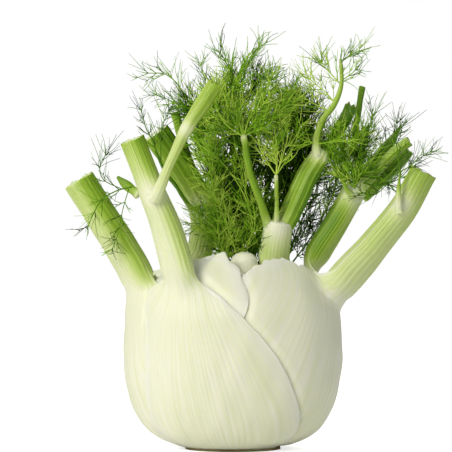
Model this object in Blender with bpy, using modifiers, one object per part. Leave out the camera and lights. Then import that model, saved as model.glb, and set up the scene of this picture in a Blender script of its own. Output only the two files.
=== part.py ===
"""A trimmed fennel bulb: overlapping leaf bases on a short stem, cut stalks, side stems and feathery fronds.

It stands on its cut root end. The origin is the centre of that cut, +Z is up and the front is -Y.
Lengths below are in millimetres. A turn is the angle round the bulb in degrees: 0 is the front,
90 the right side (+X), 180 the back.
"""

import math

import bmesh
import bpy
import numpy as np
from mathutils import Vector

MM = 0.001
# The air left between two leaf bases, and round a stalk that leaves the bulb.
GAP = 0.8
STALK_GAP = 1.5
# The radius at which a turn is unrolled into a length.
SWEEP_RADIUS = 45.0
# How finely a leaf is divided up its base and up its stalk.
BASE_ROWS = 15
STALK_ROWS = 5
# How finely a smooth line is divided where distances to it are measured.
LINE_STEPS = 40
CURVE_STEPS = 160

# The bulb's outline: height, half width, half depth.
OUTLINE = (
    (1.5, 25.0, 19.0),
    (5.0, 34.0, 25.5),
    (10.0, 40.5, 30.0),
    (17.5, 45.4, 33.5),
    (26.0, 48.4, 35.5),
    (34.0, 49.8, 36.5),
    (44.0, 50.3, 37.0),
    (58.0, 49.6, 36.0),
    (66.0, 48.2, 34.5),
    (73.0, 45.4, 31.5),
    (79.0, 41.5, 27.5),
    (85.0, 36.5, 23.0),
    (91.0, 31.0, 19.0),
    (98.0, 26.0, 16.0),
)

# The room kept in the middle for the stem and the heart bud: height, half width, half depth, centre x
# and centre y.
CORE = (
    (1.5, 23.0, 17.0, 0.0, 0.0),
    (5.0, 17.0, 12.5, 0.0, 0.0),
    (10.0, 10.0, 7.5, 0.0, 0.0),
    (16.0, 6.5, 5.0, 0.0, 0.0),
    (26.0, 9.5, 7.0, 0.0, 0.0),
    (40.0, 11.5, 8.0, 0.5, -1.0),
    (60.0, 9.5, 7.0, 2.5, -3.5),
    (76.0, 6.8, 5.8, 4.6, -6.5),
    (98.0, 6.0, 5.5, 5.2, -7.5),
)

# How thick a leaf base grows with height, as a share of its full thickness.
THICKNESS_BY_HEIGHT = ((1.5, 0.2), (6.0, 0.5), (15.0, 1.0), (58.0, 1.0), (76.0, 1.5))
# A free edge's thickness, the width over which a leaf thins towards it, and the width of the step beside it.
EDGE_THICKNESS = 0.8
EDGE_ZONE = 17.0
TUCK_ZONE = 4.0
# The stalk's shape is complete this far up (1 is the foot of the stalk). Edges turn into the stalk later
# than the middle does, by this power of their distance from it.
BLEND_END = 1.12
EDGE_LAG = 1.5
# The part of an outer stalk's route that presses the inner leaves in, and how often that is repeated.
STALK_ROOT_SHARE = 0.05
STALK_TOP_SHARE = 0.9
PRESS_PASSES = 3
# The step along a route, as a share of it, that gives its direction.
TANGENT_STEP = 0.01

# Each leaf base is swept between a first and a last free edge, through its middle line, from the stem
# to the foot of its stalk: (turn, height) pairs. The stalk then follows its route to the cut end.
# A stalk has a width and a depth at each point of its route. The blend says how many steps before its foot
# the stalk begins to swell out of the middle of the leaf base, and out of its edges. Columns is how finely
# it is divided across, and tucked in is how much deeper it lies than the leaves over it ask for. The leaves
# are listed from the outermost inwards.
LEAVES = {
    "front_left_leaf": {
        "first": (
            (-66, 1.5), (-58, 15), (-54, 30), (-52, 44), (-53, 58), (-56, 68), (-57, 74.5),
            (-50, 79.5),
        ),
        "middle": (
            (-12, 1.5), (-11, 15), (-14, 30), (-18, 44), (-25, 57), (-33, 66), (-36, 72), (-36, 78),
        ),
        "last": ((48, 1.5), (43, 15), (33, 30), (23.5, 44), (10, 58), (-2, 68), (-13, 75), (-21, 79)),
        "route": (
            (-25.5, -26, 66), (-24.5, -25.5, 80), (-29.6, -24.5, 100.5), (-36.1, -26, 118),
            (-41, -27, 131), (-45.4, -28, 142.3),
        ),
        "width": (17.5, 16.8, 15, 12, 11.3, 11.5),
        "depth": (9, 11, 11.5, 10.5, 10, 10),
        "facing": -36,
        "blend": (2.6, 1.2),
        "thick": 4.2,
        "tucked_in": 0.0,
        "columns": 14,
    },
    "far_left_leaf": {
        "first": (
            (-168, 1.5), (-166, 15), (-163, 30), (-158, 44), (-148, 58), (-132, 69), (-116, 75.5),
            (-103, 80),
        ),
        "middle": (
            (-100, 1.5), (-98, 15), (-96, 30), (-94, 44), (-91, 54), (-88, 62), (-84, 70), (-80, 77),
        ),
        "last": (
            (-34, 1.5), (-36, 15), (-38, 30), (-40, 44), (-42, 58), (-45, 69), (-49, 76), (-55, 80),
        ),
        "route": (
            (-44.5, -6, 56), (-43, -6, 76), (-51, -7, 93), (-60.5, -8.5, 108.2), (-70.2, -10, 123.7),
        ),
        "width": (30, 19, 16.8, 16.2, 16.4),
        "depth": (12, 14, 13.8, 13, 13),
        "facing": -50,
        "blend": (4.6, 1.4),
        "thick": 4.2,
        "tucked_in": 0.0,
        "columns": 14,
    },
    "back_left_leaf": {
        "first": (
            (-215, 2.5), (-214, 15), (-211, 30), (-207, 44), (-202, 58), (-196, 68), (-190, 74),
            (-184, 79), (-176, 83), (-170, 84), (-168, 85),
        ),
        "middle": (
            (-118, 2.5), (-118, 15), (-118, 30), (-119, 44), (-121, 56), (-124, 65), (-128, 70),
            (-132, 74), (-137, 78), (-143, 81), (-146, 84),
        ),
        "last": (
            (-14, 2.5), (-10, 15), (-6, 30), (-1, 44), (4, 59), (8.5, 69), (6.5, 79), (-1, 86),
            (-12, 90), (-45, 86), (-118, 85),
        ),
        "route": ((-19, 15, 76), (-16, 13.5, 88), (-13.3, 12.5, 101), (-15, 12, 112)),
        "width": (14, 12.5, 12, 11.5),
        "depth": (8, 10, 10.5, 10.5),
        "facing": -150,
        "blend": (3.4, 0.8),
        "thick": 3.8,
        "tucked_in": 0.9,
        "columns": 14,
    },
    "right_leaf": {
        "first": (
            (6, 2.5), (3, 15), (-2, 30), (-6, 44), (-9, 58), (-6, 71), (6, 80.5), (19, 85.6), (42, 88.2),
            (57, 84.8), (71, 84),
        ),
        "middle": (
            (92, 2.5), (91, 15), (90, 30), (88, 43), (86, 52), (84, 59), (83, 64), (82, 67), (81, 70),
            (80, 73), (80, 76),
        ),
        "last": (
            (170, 2.5), (170, 15), (169, 30), (165, 44), (158, 57), (146, 66), (133, 71), (122, 74),
            (112, 76), (105, 77.5), (98, 78.5),
        ),
        "route": ((43, -4.5, 50), (48, -5, 73), (63.5, -6, 92.5), (77.4, -7, 110.2), (87, -8, 127.4)),
        "width": (30, 21, 16.4, 14.6, 13.9),
        "depth": (12, 14, 13, 12, 11.5),
        "facing": 52,
        "blend": (6.4, 1.2),
        "thick": 3.8,
        "tucked_in": 1.4,
        "columns": 18,
    },
    "inner_right_leaf": {
        "first": ((32, 11), (31, 20), (34, 44), (48, 60), (70, 70), (88, 78), (94, 84)),
        "middle": ((104, 11), (104, 20), (104, 44), (105, 60), (106, 68), (107, 75), (109, 82)),
        "last": ((192, 11), (194, 20), (192, 44), (184, 60), (166, 71), (150, 78), (136, 84)),
        "route": ((33, 10, 70), (36, 10.5, 86), (48.7, 12, 104), (56, 13, 118.4)),
        "width": (16, 15, 12.4, 11.5),
        "depth": (8, 10, 11, 10.5),
        "facing": 60,
        "blend": (2.2, 1.0),
        "thick": 3.4,
        "tucked_in": 1.9,
        "columns": 14,
    },
    "center_leaf": {
        "first": (
            (-98, 13), (-98, 26), (-98, 44), (-98, 58), (-96, 70), (-80, 78), (-34, 81), (12, 81.5),
            (36, 81),
        ),
        "middle": (
            (80, 13), (80, 26), (80, 44), (80, 56), (79, 65), (77, 70), (74, 74), (72, 76.5), (70, 78),
        ),
        "last": (
            (258, 13), (258, 26), (258, 44), (258, 58), (256, 70), (232, 78), (184, 82), (132, 82),
            (104, 81),
        ),
        "route": ((21.5, 0, 70), (19.2, -1.5, 84), (19, -2, 91), (20.7, -2, 102.8)),
        "width": (16, 14.8, 14.2, 12.9),
        "depth": (10, 11, 11.5, 11),
        "facing": 20,
        "blend": (3.0, 0.8),
        "thick": 3.6,
        "tucked_in": 2.6,
        "columns": 24,
    },
}

# Side stems and the cut upper lengths of the stalks: the route's points and the radius at each of them.
STEMS = {
    "front_left_side_stem": {
        "route": (
            (-32, -34.5, 117), (-27.5, -36, 133), (-21, -35, 147), (-14.5, -33, 157),
            (-8.5, -31, 166.2),
        ),
        "radii": (2.3, 2.1, 2.6, 3.4, 3.5),
    },
    "far_left_stub": {
        "route": ((-44.8, -21.8, 119), (-48.2, -20.5, 121.6), (-52, -19.5, 125)),
        "radii": (1.8, 2.1, 2.1),
    },
    "back_left_stalk_top": {
        "route": ((-15.9, 12, 114), (-20, 11, 122), (-27, 9, 133), (-35.6, 7, 145)),
        "radii": (5.6, 5.8, 6.0, 6.2),
    },
    "back_left_slim_stem": {
        "route": ((-10, 21, 110), (-17.5, 21.5, 125), (-22.5, 22, 138), (-26.9, 22.5, 154.7)),
        "radii": (2.0, 2.0, 2.0, 2.1),
    },
    "back_left_twig": {
        "route": ((-20.5, 2.4, 112), (-26, 0, 120.5), (-30.8, -2, 127), (-35.8, -4, 137)),
        "radii": (0.9, 0.9, 0.8, 0.8),
    },
    "back_left_stub": {
        "route": ((-9.6, 4.3, 109), (-10.6, 3.6, 115), (-11.6, 3, 120)),
        "radii": (1.5, 1.5, 1.6),
    },
    "center_left_stem": {
        "route": ((15.8, -5.5, 104.1), (12.6, -7, 114), (7.8, -9, 127), (4.9, -10, 143.2)),
        "radii": (1.9, 1.6, 1.5, 1.4),
    },
    "center_thin_stem": {
        "route": ((19.8, -5.8, 103.8), (20, -7.2, 113), (19.7, -8, 125.3)),
        "radii": (1.1, 0.95, 0.9),
    },
    "center_stalk_top": {
        "route": ((24.5, -0.3, 104.5), (29, 0.5, 114), (34.4, 1, 126), (39.6, 1.5, 134)),
        "radii": (4.4, 4.8, 4.7, 4.2),
    },
    "center_right_tall_stem": {
        "route": (
            (38.2, -1.6, 138), (38.4, -2.2, 143.2), (41, -2.5, 151), (46.8, -3, 158.8),
            (49.6, -3, 168), (49.2, -3, 178.5),
        ),
        "radii": (1.6, 1.6, 1.4, 1.2, 0.9, 0.7),
    },
    "center_right_cut_stem": {
        "route": ((43.4, 4, 135.8), (47.8, 5, 145), (52, 6, 152), (54.6, 6.5, 157.4)),
        "radii": (2.5, 2.7, 2.8, 2.9),
    },
    "center_right_strip_stem": {
        "route": ((55.8, 19, 137), (56.8, 18.5, 145), (58.4, 17.5, 156), (60, 17, 166.6)),
        "radii": (1.4, 1.35, 1.3, 1.4),
    },
    "inner_right_front_stem": {
        "route": ((60, 8.5, 121), (66, 6.5, 127.4), (73.4, 4.5, 135.5), (81, 2.5, 141.4)),
        "radii": (2.4, 2.4, 2.3, 2.3),
    },
    "inner_right_stalk_top": {
        "route": ((61.5, 18, 117.5), (68, 17, 124.5), (74.5, 16, 131), (80.5, 15, 138)),
        "radii": (3.7, 4.2, 4.3, 3.9),
    },
    "inner_right_back_stem": {
        "route": ((60.5, 24.2, 124), (67.5, 25, 132.4), (73.5, 25.4, 140.4), (78.2, 25.6, 148.2)),
        "radii": (2.6, 2.7, 2.2, 0.9),
    },
    "inner_right_upright_stem": {
        "route": ((57.3, 19.4, 122.2), (59, 21.2, 134), (61.5, 22, 143), (63.4, 22, 149.5)),
        "radii": (1.3, 1.6, 1.6, 0.8),
    },
    "inner_right_thin_stem": {
        "route": ((52.4, 3.8, 119), (50, 2.5, 124), (45, 1.5, 130)),
        "radii": (0.8, 0.7, 0.6),
    },
    "right_side_stem": {
        "route": ((75.2, -16, 110.8), (75, -16.8, 118), (75.7, -16, 127.6)),
        "radii": (1.5, 1.4, 1.2),
    },
}

# A frond's midrib goes through its route, bare over its first share. Pairs of side ribs then leave it,
# out to its spread, in the plane that faces the front.
FRONDS = {
    "center_top_frond": {
        "route": ((4.8, -10.2, 144.2), (5.5, -10, 158), (8, -9.5, 172), (10, -9, 185)),
        "spread": 13,
        "ribs": 5,
        "bare": 0.1,
    },
    "center_front_frond": {
        "route": ((19.7, -8.2, 126.3), (21, -8.5, 140), (22, -8.5, 154), (24, -8, 168)),
        "spread": 11,
        "ribs": 4,
        "bare": 0.1,
    },
    "center_back_frond": {
        "route": ((9, 10, 84), (6, 14.5, 110), (1, 16.5, 136), (-5, 17, 162)),
        "spread": 15,
        "ribs": 6,
        "bare": 0.25,
    },
    "center_left_frond": {
        "route": ((-4, 6, 84), (-5, 1, 104), (-6.5, -3, 124), (-6, -5, 142)),
        "spread": 9,
        "ribs": 4,
        "bare": 0.3,
    },
    "center_low_frond": {
        "route": ((3, 3, 84), (4.5, -1, 98), (3, -3, 110), (2, -4, 122)),
        "spread": 8,
        "ribs": 3,
        "bare": 0.3,
    },
    "back_right_low_frond": {
        "route": ((24.5, 15.5, 84), (31, 18.5, 102), (38.5, 20, 118), (40.5, 21, 129)),
        "spread": 9,
        "ribs": 4,
        "bare": 0.25,
    },
    "top_left_frond": {
        "route": ((-6, 24, 104), (-9, 26, 125), (-16, 28, 148), (-26, 28.5, 164), (-37, 28, 173)),
        "spread": 9,
        "ribs": 4,
        "bare": 0.5,
    },
    "top_left_light_frond": {
        "route": ((1, 21, 100), (-3, 22.5, 122), (-8, 24, 145), (-13, 24.5, 163), (-17, 24, 179)),
        "spread": 6,
        "ribs": 4,
        "bare": 0.6,
    },
    "top_right_frond": {
        "route": ((38, 8.3, 134), (40, 9, 148), (44, 9.5, 160), (52, 10, 181)),
        "spread": 12,
        "ribs": 5,
        "bare": 0.25,
    },
    "inner_right_frond": {
        "route": ((48, 21, 108), (48.5, 27.5, 116), (52.5, 31, 130), (57, 31, 149)),
        "spread": 6,
        "ribs": 4,
        "bare": 0.35,
    },
    "far_right_frond": {
        "route": ((52, 21.5, 112), (58, 27.5, 120), (65, 33.5, 132), (73, 37, 145), (80.5, 38, 154)),
        "spread": 10,
        "ribs": 5,
        "bare": 0.42,
    },
    "right_frond": {
        "route": ((75.7, -16, 128.6), (74.8, -16, 136), (73.8, -15.5, 143), (74.5, -15, 149.5)),
        "spread": 5,
        "ribs": 3,
        "bare": 0.2,
    },
    "left_dark_frond": {
        "route": ((-36, -4.2, 138), (-38.5, -4.5, 144), (-38.5, -4.6, 150), (-34, -4.6, 155.5)),
        "spread": 5.5,
        "ribs": 3,
        "bare": 0.2,
    },
    "left_side_frond": {
        "route": ((-44.2, -27.5, 120.5), (-53, -28, 119), (-60, -28, 114), (-64, -27.5, 105)),
        "spread": 8,
        "ribs": 4,
        "bare": 0.2,
    },
}
RIB_RADIUS = 0.85
RIB_END_RADIUS = 0.5
RIB_BASE = 2.0
FROND_THICKNESS = 1.2
# A side rib leans along the midrib by the first number, more towards the tip by the second, and shortens
# towards the tip by the third.
RIB_LEAN = 0.55
RIB_LEAN_GROWTH = 0.25
RIB_SHORTENING = 0.5

# Two faces that meet at more than this angle (degrees) meet in a corner.
CORNER_ANGLE = 50

# Stems thicker than this radius get finer rounding.
THICK_STEM = 3.0
FINE_ROUNDING = 4
PLAIN_ROUNDING = 2

# The heart bud: heights, and how much of the middle room it fills at each.
BUD_HEIGHTS = (17.5, 18.6, 22, 30, 42, 55, 68, 78, 84, 87.5, 89.8, 90.8)
BUD_SHARES = (0.25, 0.6, 0.9, 1, 1, 1, 0.95, 0.85, 0.8, 0.66, 0.42, 0.12)
BUD_SIDES = 12

# The short stem's profile from its top to its cut: radius, height. Its cut is oval, as deep as this share
# of its width.
STEM_BASE_PROFILE = (
    (0.0, 16.5),
    (2.5, 15.8),
    (5.5, 12.0),
    (9.0, 8.0),
    (14.0, 4.8),
    (21.5, 1.5),
    (22.0, 0.0),
)
STEM_BASE_SIDES = 24
STEM_BASE_DEPTH_SHARE = 0.74

# Colours are the scene-linear values of each finish.
COLOURS = {
    "white_leaf_base": ((0.80, 0.84, 0.62), 0.38),
    "green_stalk": ((0.33, 0.50, 0.08), 0.45),
    "frond": ((0.12, 0.32, 0.02), 0.55),
    "cut_root": ((0.72, 0.62, 0.40), 0.7),
}


def smooth_step(value):
    """0 below 0, 1 above 1 and an even S between."""
    share = np.clip(value, 0.0, 1.0)
    return share * share * (3.0 - 2.0 * share)


def along(points, share):
    """The places at these shares (0 to 1) of a smooth curve through the points."""
    points = np.asarray(points, float)
    first = 2.0 * points[0] - points[1]
    last = 2.0 * points[-1] - points[-2]
    padded = np.vstack([first, points, last])
    place = np.clip(np.asarray(share, float), 0.0, 1.0) * (len(points) - 1)
    start = np.minimum(place.astype(int), len(points) - 2)
    part = (place - start)[..., None]
    a, b, c, d = (padded[start + step] for step in range(4))
    curve = (2.0 * a - 5.0 * b + 4.0 * c - d) * part**2 + (3.0 * b - a - 3.0 * c + d) * part**3
    return b + 0.5 * ((c - a) * part + curve)


OUTLINE_CURVE = along(OUTLINE, np.linspace(0, 1, CURVE_STEPS))
CORE_CURVE = along(CORE, np.linspace(0, 1, CURVE_STEPS))


def by_height(curve, height, column):
    """A column of a table of heights, at this height."""
    return np.interp(height, curve[:, 0], curve[:, column])


def on_bulb(turn, height, depth):
    """The point at this turn (degrees) and height, this far under the bulb's outline."""
    angle = np.radians(turn)
    x = (by_height(OUTLINE_CURVE, height, 1) - depth) * np.sin(angle)
    y = -(by_height(OUTLINE_CURVE, height, 2) - depth) * np.cos(angle)
    return np.stack([x, y, height + 0.0 * x], axis=-1)


def on_core(turn, height):
    """The point at this turn and height, just outside the room kept in the middle."""
    angle = np.radians(turn)
    x = by_height(CORE_CURVE, height, 3) + (by_height(CORE_CURVE, height, 1) + GAP) * np.sin(angle)
    y = by_height(CORE_CURVE, height, 4) - (by_height(CORE_CURVE, height, 2) + GAP) * np.cos(angle)
    return np.stack([x, y, height + 0.0 * x], axis=-1)


def flat(turn, height):
    """The bulb's surface unrolled to a sheet, in millimetres."""
    return np.stack([np.radians(turn) * SWEEP_RADIUS, height], axis=-1)


def distance_to(line, points):
    """How far each point is from a line of straight pieces."""
    nearest = np.full(points.shape[:-1], np.inf)
    for start, end in zip(line[:-1], line[1:]):
        step = end - start
        share = np.clip(((points - start) @ step) / (step @ step), 0.0, 1.0)
        nearest = np.minimum(nearest, np.linalg.norm(points - start - share[..., None] * step, axis=-1))
    return nearest


def inside(outline, points):
    """Whether each point is inside a closed outline."""
    found = np.zeros(points.shape[:-1], bool)
    for start, end in zip(outline, np.roll(outline, -1, axis=0)):
        crosses = (start[1] > points[..., 1]) != (end[1] > points[..., 1])
        rise = end[1] - start[1]
        reach = start[0] + (points[..., 1] - start[1]) * (end[0] - start[0]) / (rise if rise else 1.0)
        found ^= crosses & (points[..., 0] < reach)
    return found


def edge_distance(leaf, turn, height):
    """Each point's distance to the leaf's nearer free edge, above 0 under the leaf and below 0 beside it."""
    share = np.linspace(0, 1, LINE_STEPS)
    first = along(leaf["first"], share)
    last = along(leaf["last"], share)
    best = np.full(np.shape(turn), -np.inf)
    for shift in (-360.0, 0.0, 360.0):
        points = flat(turn + shift, height)
        first_line = flat(first[:, 0], first[:, 1])
        last_line = flat(last[:, 0], last[:, 1])
        distance = np.minimum(distance_to(first_line, points), distance_to(last_line, points))
        under = inside(np.vstack([first_line, last_line[::-1]]), points)
        best = np.maximum(best, np.where(under, distance, -distance))
    return best


def thickness(leaf, turn, height, distance):
    """A leaf base is fleshy in its middle and thins to its free edges."""
    heights, shares = zip(*THICKNESS_BY_HEIGHT)
    full = leaf["thick"] * np.interp(height, heights, shares)
    edge = np.minimum(EDGE_THICKNESS, 0.8 * full)
    return edge + (full - edge) * smooth_step(distance / EDGE_ZONE)


def buried_depth(covers, turn, height):
    """How far the leaf bases that lie over this place push it in."""
    depth = np.zeros(np.shape(turn))
    for cover in covers:
        distance = edge_distance(cover, turn, height)
        own = thickness(cover, turn, height, np.maximum(distance, 0.0)) + GAP
        depth += own * smooth_step(1.0 + np.minimum(distance, 0.0) / TUCK_ZONE)
    return depth


def unit(vector):
    """The direction of a vector."""
    return vector / np.linalg.norm(vector)


def leaf_row(leaf, covers, row, share_across, innermost):
    """The outer and inner points of a leaf base across one of its rows, and each one's turn and height."""
    first, middle, last = (along(leaf[line], np.array([row]))[0] for line in ("first", "middle", "last"))
    first_weight = (1 - share_across) * (1 - 2 * share_across)
    middle_weight = 4 * share_across * (1 - share_across)
    last_weight = share_across * (2 * share_across - 1)
    turn = first_weight * first[0] + middle_weight * middle[0] + last_weight * last[0]
    height = first_weight * first[1] + middle_weight * middle[1] + last_weight * last[1]
    depth = buried_depth(covers, turn, height) + leaf["tucked_in"]
    outer = on_bulb(turn, height, depth)
    if innermost:
        return outer, on_core(turn, height), turn, height
    distance = np.maximum(edge_distance(leaf, turn, height), 0.0)
    return outer, on_bulb(turn, height, depth + thickness(leaf, turn, height, distance)), turn, height


def stalk_ring(leaf, place, ring_angle):
    """The front and back points of the oval round a stalk, at this share of its route."""
    route = leaf["route"]
    centre = along(route, np.array([place]))[0]
    ahead = along(route, np.array([min(place + TANGENT_STEP, 1.0)]))[0]
    behind = along(route, np.array([max(place - TANGENT_STEP, 0.0)]))[0]
    direction = unit(ahead - behind)
    facing = math.radians(leaf["facing"])
    outward = np.array([math.sin(facing), -math.cos(facing), 0.0])
    out = unit(outward - (outward @ direction) * direction)
    side = np.cross(direction, out)
    width = along(np.array(leaf["width"])[:, None], np.array([place]))[0, 0]
    depth = along(np.array(leaf["depth"])[:, None], np.array([place]))[0, 0]
    sideways = centre + np.outer(np.cos(ring_angle), side) * width / 2
    outwards = np.outer(np.sin(ring_angle), out) * depth / 2
    return sideways + outwards, sideways - outwards


def leaf_rings(name, across, base_rows, stalk_rows):
    """Rings of points up one leaf: first round its base, then round its stalk."""
    leaf = LEAVES[name]
    names = list(LEAVES)
    covers = [LEAVES[other] for other in names[: names.index(name)]]
    innermost = name == names[-1]
    steps = len(leaf["first"]) - 1
    middle_start, edge_start = (1.0 - count / steps for count in leaf["blend"])
    route_steps = len(leaf["route"]) - 1
    share_across = np.linspace(0, 1, across + 1)
    ring_angle = math.pi * (1.0 - (np.arange(across + 1) + 0.5) / (across + 1))
    towards_edge = np.abs(2 * share_across - 1) ** EDGE_LAG
    blend_start = middle_start + (edge_start - middle_start) * towards_edge
    up_base = np.linspace(0, 1, base_rows + 1)
    up_stalk = np.linspace(1, 2, stalk_rows + 1)[1:]
    rings = []
    for progress in np.concatenate([up_base, up_stalk]):
        row = min(progress, 1.0)
        outer, inner, turn, height = leaf_row(leaf, covers, row, share_across, innermost)
        if progress > middle_start:
            below_foot = (row - middle_start) / (1.0 - middle_start)
            above_foot = max(progress - 1.0, 0.0) * (route_steps - 1)
            front, back = stalk_ring(leaf, (below_foot + above_foot) / route_steps, ring_angle)
            blend = smooth_step((progress - blend_start) / (BLEND_END - blend_start))[:, None]
            outer = (1 - blend) * outer + blend * front
            inner = (1 - blend) * inner + blend * back
        for index, cover in enumerate(covers):
            push = pressed_in(outer, cover, buried_depth(covers[index + 1 :], turn, height))
            outer = outer + push
            inner = inner if innermost else inner + push
        rings.append(np.vstack([outer, inner[::-1]]))
    return np.array(rings)


def pressed_in(points, cover, room):
    """How far each point moves towards the bulb's middle to leave this room round an outer leaf's stalk."""
    share = np.linspace(STALK_ROOT_SHARE, STALK_TOP_SHARE, LINE_STEPS)
    line = along(cover["route"], share)
    across = (np.array(cover["width"]) + np.array(cover["depth"])) / 2
    radius = along(across[:, None], share)[:, 0] / 2 + STALK_GAP
    moved = points.copy()
    for _ in range(PRESS_PASSES):
        reach = np.linalg.norm(moved[:, None, :] - line[None, :, :], axis=-1)
        short = np.maximum((radius[None, :] + room[:, None] - reach).max(axis=1), 0.0)
        inward = moved * (1.0, 1.0, 0.0)
        moved -= inward / np.linalg.norm(inward, axis=1)[:, None] * short[:, None]
    return moved - points


def lofted(name, rings, collection):
    """One closed solid through rings of equal counts, whose first half faces its second half."""
    bm = bmesh.new()
    rows = [[bm.verts.new(Vector(point) * MM) for point in ring] for ring in rings]
    count = len(rows[0])
    for lower, upper in zip(rows[:-1], rows[1:]):
        for index in range(count):
            beside = (index + 1) % count
            bm.faces.new((lower[index], lower[beside], upper[beside], upper[index]))
    for row in (rows[0], rows[-1]):
        for index in range(count // 2 - 1):
            bm.faces.new((row[index], row[index + 1], row[count - 2 - index], row[count - 1 - index]))
    bmesh.ops.recalc_face_normals(bm, faces=bm.faces)
    return finished(name, bm, collection)


def finished(name, bm, collection):
    """The mesh as an object of this name, smooth but for its real corners."""
    mesh = bpy.data.meshes.new(name)
    bm.to_mesh(mesh)
    bm.free()
    mesh.shade_smooth()
    mesh.set_sharp_from_angle(angle=math.radians(CORNER_ANGLE))
    obj = bpy.data.objects.new(name, mesh)
    collection.objects.link(obj)
    return obj


def make_leaf(name, collection):
    """One leaf: its base round the bulb and its main stalk, grown as one piece."""
    rings = leaf_rings(name, LEAVES[name]["columns"], BASE_ROWS, STALK_ROWS)
    obj = lofted(name, rings, collection)
    obj.data.materials.append(material("white_leaf_base"))


def make_heart_bud(collection):
    """The youngest leaf, still closed: a slim oval body that ends in a rounded tip between the leaf bases."""
    around = 2 * math.pi * (np.arange(BUD_SIDES) + 0.5) / BUD_SIDES
    rings = []
    for height, share in zip(BUD_HEIGHTS, BUD_SHARES):
        x = by_height(CORE_CURVE, height, 3) + share * by_height(CORE_CURVE, height, 1) * np.cos(around)
        y = by_height(CORE_CURVE, height, 4) + share * by_height(CORE_CURVE, height, 2) * np.sin(around)
        rings.append(np.stack([x, y, height + 0.0 * x], axis=-1))
    obj = lofted("heart_bud", np.array(rings), collection)
    obj.data.materials.append(material("white_leaf_base"))


def make_stem_base(collection):
    """The short stem that every leaf grows from, turned from its profile and cut flat below."""
    bm = bmesh.new()
    corners = [bm.verts.new((radius * MM, 0.0, height * MM)) for radius, height in STEM_BASE_PROFILE]
    corners.append(bm.verts.new((0.0, 0.0, 0.0)))
    for start, end in zip(corners[:-1], corners[1:]):
        bm.edges.new((start, end))
    obj = finished("stem_base", bm, collection)
    obj.scale = (1.0, STEM_BASE_DEPTH_SHARE, 1.0)
    turn = obj.modifiers.new("turned", "SCREW")
    turn.steps = STEM_BASE_SIDES
    turn.render_steps = STEM_BASE_SIDES
    turn.use_merge_vertices = True
    turn.merge_threshold = 0.01 * MM
    obj.data.materials.append(material("cut_root"))


def make_stem(name, collection):
    """A side stem: a tapering round tube along a smooth route."""
    stem = STEMS[name]
    share = np.linspace(0, 1, 2 * len(stem["route"]) - 1)
    places = along(stem["route"], share)
    sizes = along(np.array(stem["radii"])[:, None], share)[:, 0]
    curve = bpy.data.curves.new(name, "CURVE")
    curve.dimensions = "3D"
    curve.bevel_depth = MM
    thick = max(stem["radii"]) > THICK_STEM
    curve.bevel_resolution = FINE_ROUNDING if thick else PLAIN_ROUNDING
    curve.use_fill_caps = True
    spline = curve.splines.new("POLY")
    spline.points.add(len(places) - 1)
    for point, place, size in zip(spline.points, places, sizes):
        point.co = (*(place * MM), 1.0)
        point.radius = size
    obj = bpy.data.objects.new(name, curve)
    collection.objects.link(obj)
    curve.materials.append(material("green_stalk"))


def make_frond(name, collection):
    """A feathery leaf as one flat body: a midrib with pairs of side ribs. The finest threads are left out."""
    frond = FRONDS[name]
    length = np.linalg.norm(np.diff(np.array(frond["route"]), axis=0), axis=1).sum()
    half_base = RIB_BASE / 2 / length
    places = [0.0]
    for share in np.linspace(frond["bare"], 1.0, frond["ribs"] + 1)[:-1]:
        places += [share - half_base, share + half_base]
    midrib = along(frond["route"], np.array(places + [1.0]))
    heading = np.gradient(midrib, axis=0)
    bm = bmesh.new()
    sides = {-1: [], 1: []}
    half_widths = np.linspace(RIB_RADIUS, RIB_END_RADIUS, len(midrib))
    for centre, direction, half_width in zip(midrib, heading, half_widths):
        across = unit(np.cross(direction, (0.0, 1.0, 0.0)))
        for way, row in sides.items():
            row.append(bm.verts.new(Vector(centre + way * half_width * across) * MM))
    left, right = sides[-1], sides[1]
    for index in range(len(midrib) - 1):
        bm.faces.new((left[index], right[index], right[index + 1], left[index + 1]))
    for index in range(1, len(midrib) - 1, 2):
        direction = unit(midrib[index + 1] - midrib[index])
        across = unit(np.cross(direction, (0.0, 1.0, 0.0)))
        reach = frond["spread"] * (1.0 - RIB_SHORTENING * places[index])
        lean_along = RIB_LEAN + RIB_LEAN_GROWTH * places[index]
        for way, row in sides.items():
            tip = midrib[index] + unit(way * across + lean_along * direction) * reach
            near = bm.verts.new(Vector(tip) * MM)
            far = bm.verts.new(Vector(tip + direction * RIB_END_RADIUS) * MM)
            bm.faces.new((row[index], near, far, row[index + 1]))
    bmesh.ops.recalc_face_normals(bm, faces=bm.faces)
    obj = finished(name, bm, collection)
    thick = obj.modifiers.new("thick", "SOLIDIFY")
    thick.thickness = FROND_THICKNESS * MM
    thick.offset = 0.0
    obj.data.materials.append(material("frond"))


def material(name):
    """The finish of this name, made once."""
    if name in bpy.data.materials:
        return bpy.data.materials[name]
    colour, roughness = COLOURS[name]
    made = bpy.data.materials.new(name)
    made.use_nodes = True
    shader = made.node_tree.nodes["Principled BSDF"]
    shader.inputs["Base Color"].default_value = (*colour, 1.0)
    shader.inputs["Roughness"].default_value = roughness
    shader.inputs["Metallic"].default_value = 0.0
    return made


def main():
    """Build the fennel bulb in an empty scene."""
    for obj in list(bpy.data.objects):
        bpy.data.objects.remove(obj)
    collection = bpy.data.collections.new("fennel_bulb")
    bpy.context.scene.collection.children.link(collection)
    make_stem_base(collection)
    make_heart_bud(collection)
    for name in LEAVES:
        make_leaf(name, collection)
    for name in STEMS:
        make_stem(name, collection)
    for name in FRONDS:
        make_frond(name, collection)


main()
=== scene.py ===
"""The looks of a trimmed fennel bulb: ribbed leaf bases, cut stalks, side stems and feathery fronds.

It stands on its cut root end. The origin is the centre of that cut, +Z is up and the front is -Y.
Lengths in the tables are in millimetres. A turn is the angle round the bulb in degrees: 0 is the
front, 90 the right side (+X), 180 the back.
"""

import math

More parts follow.
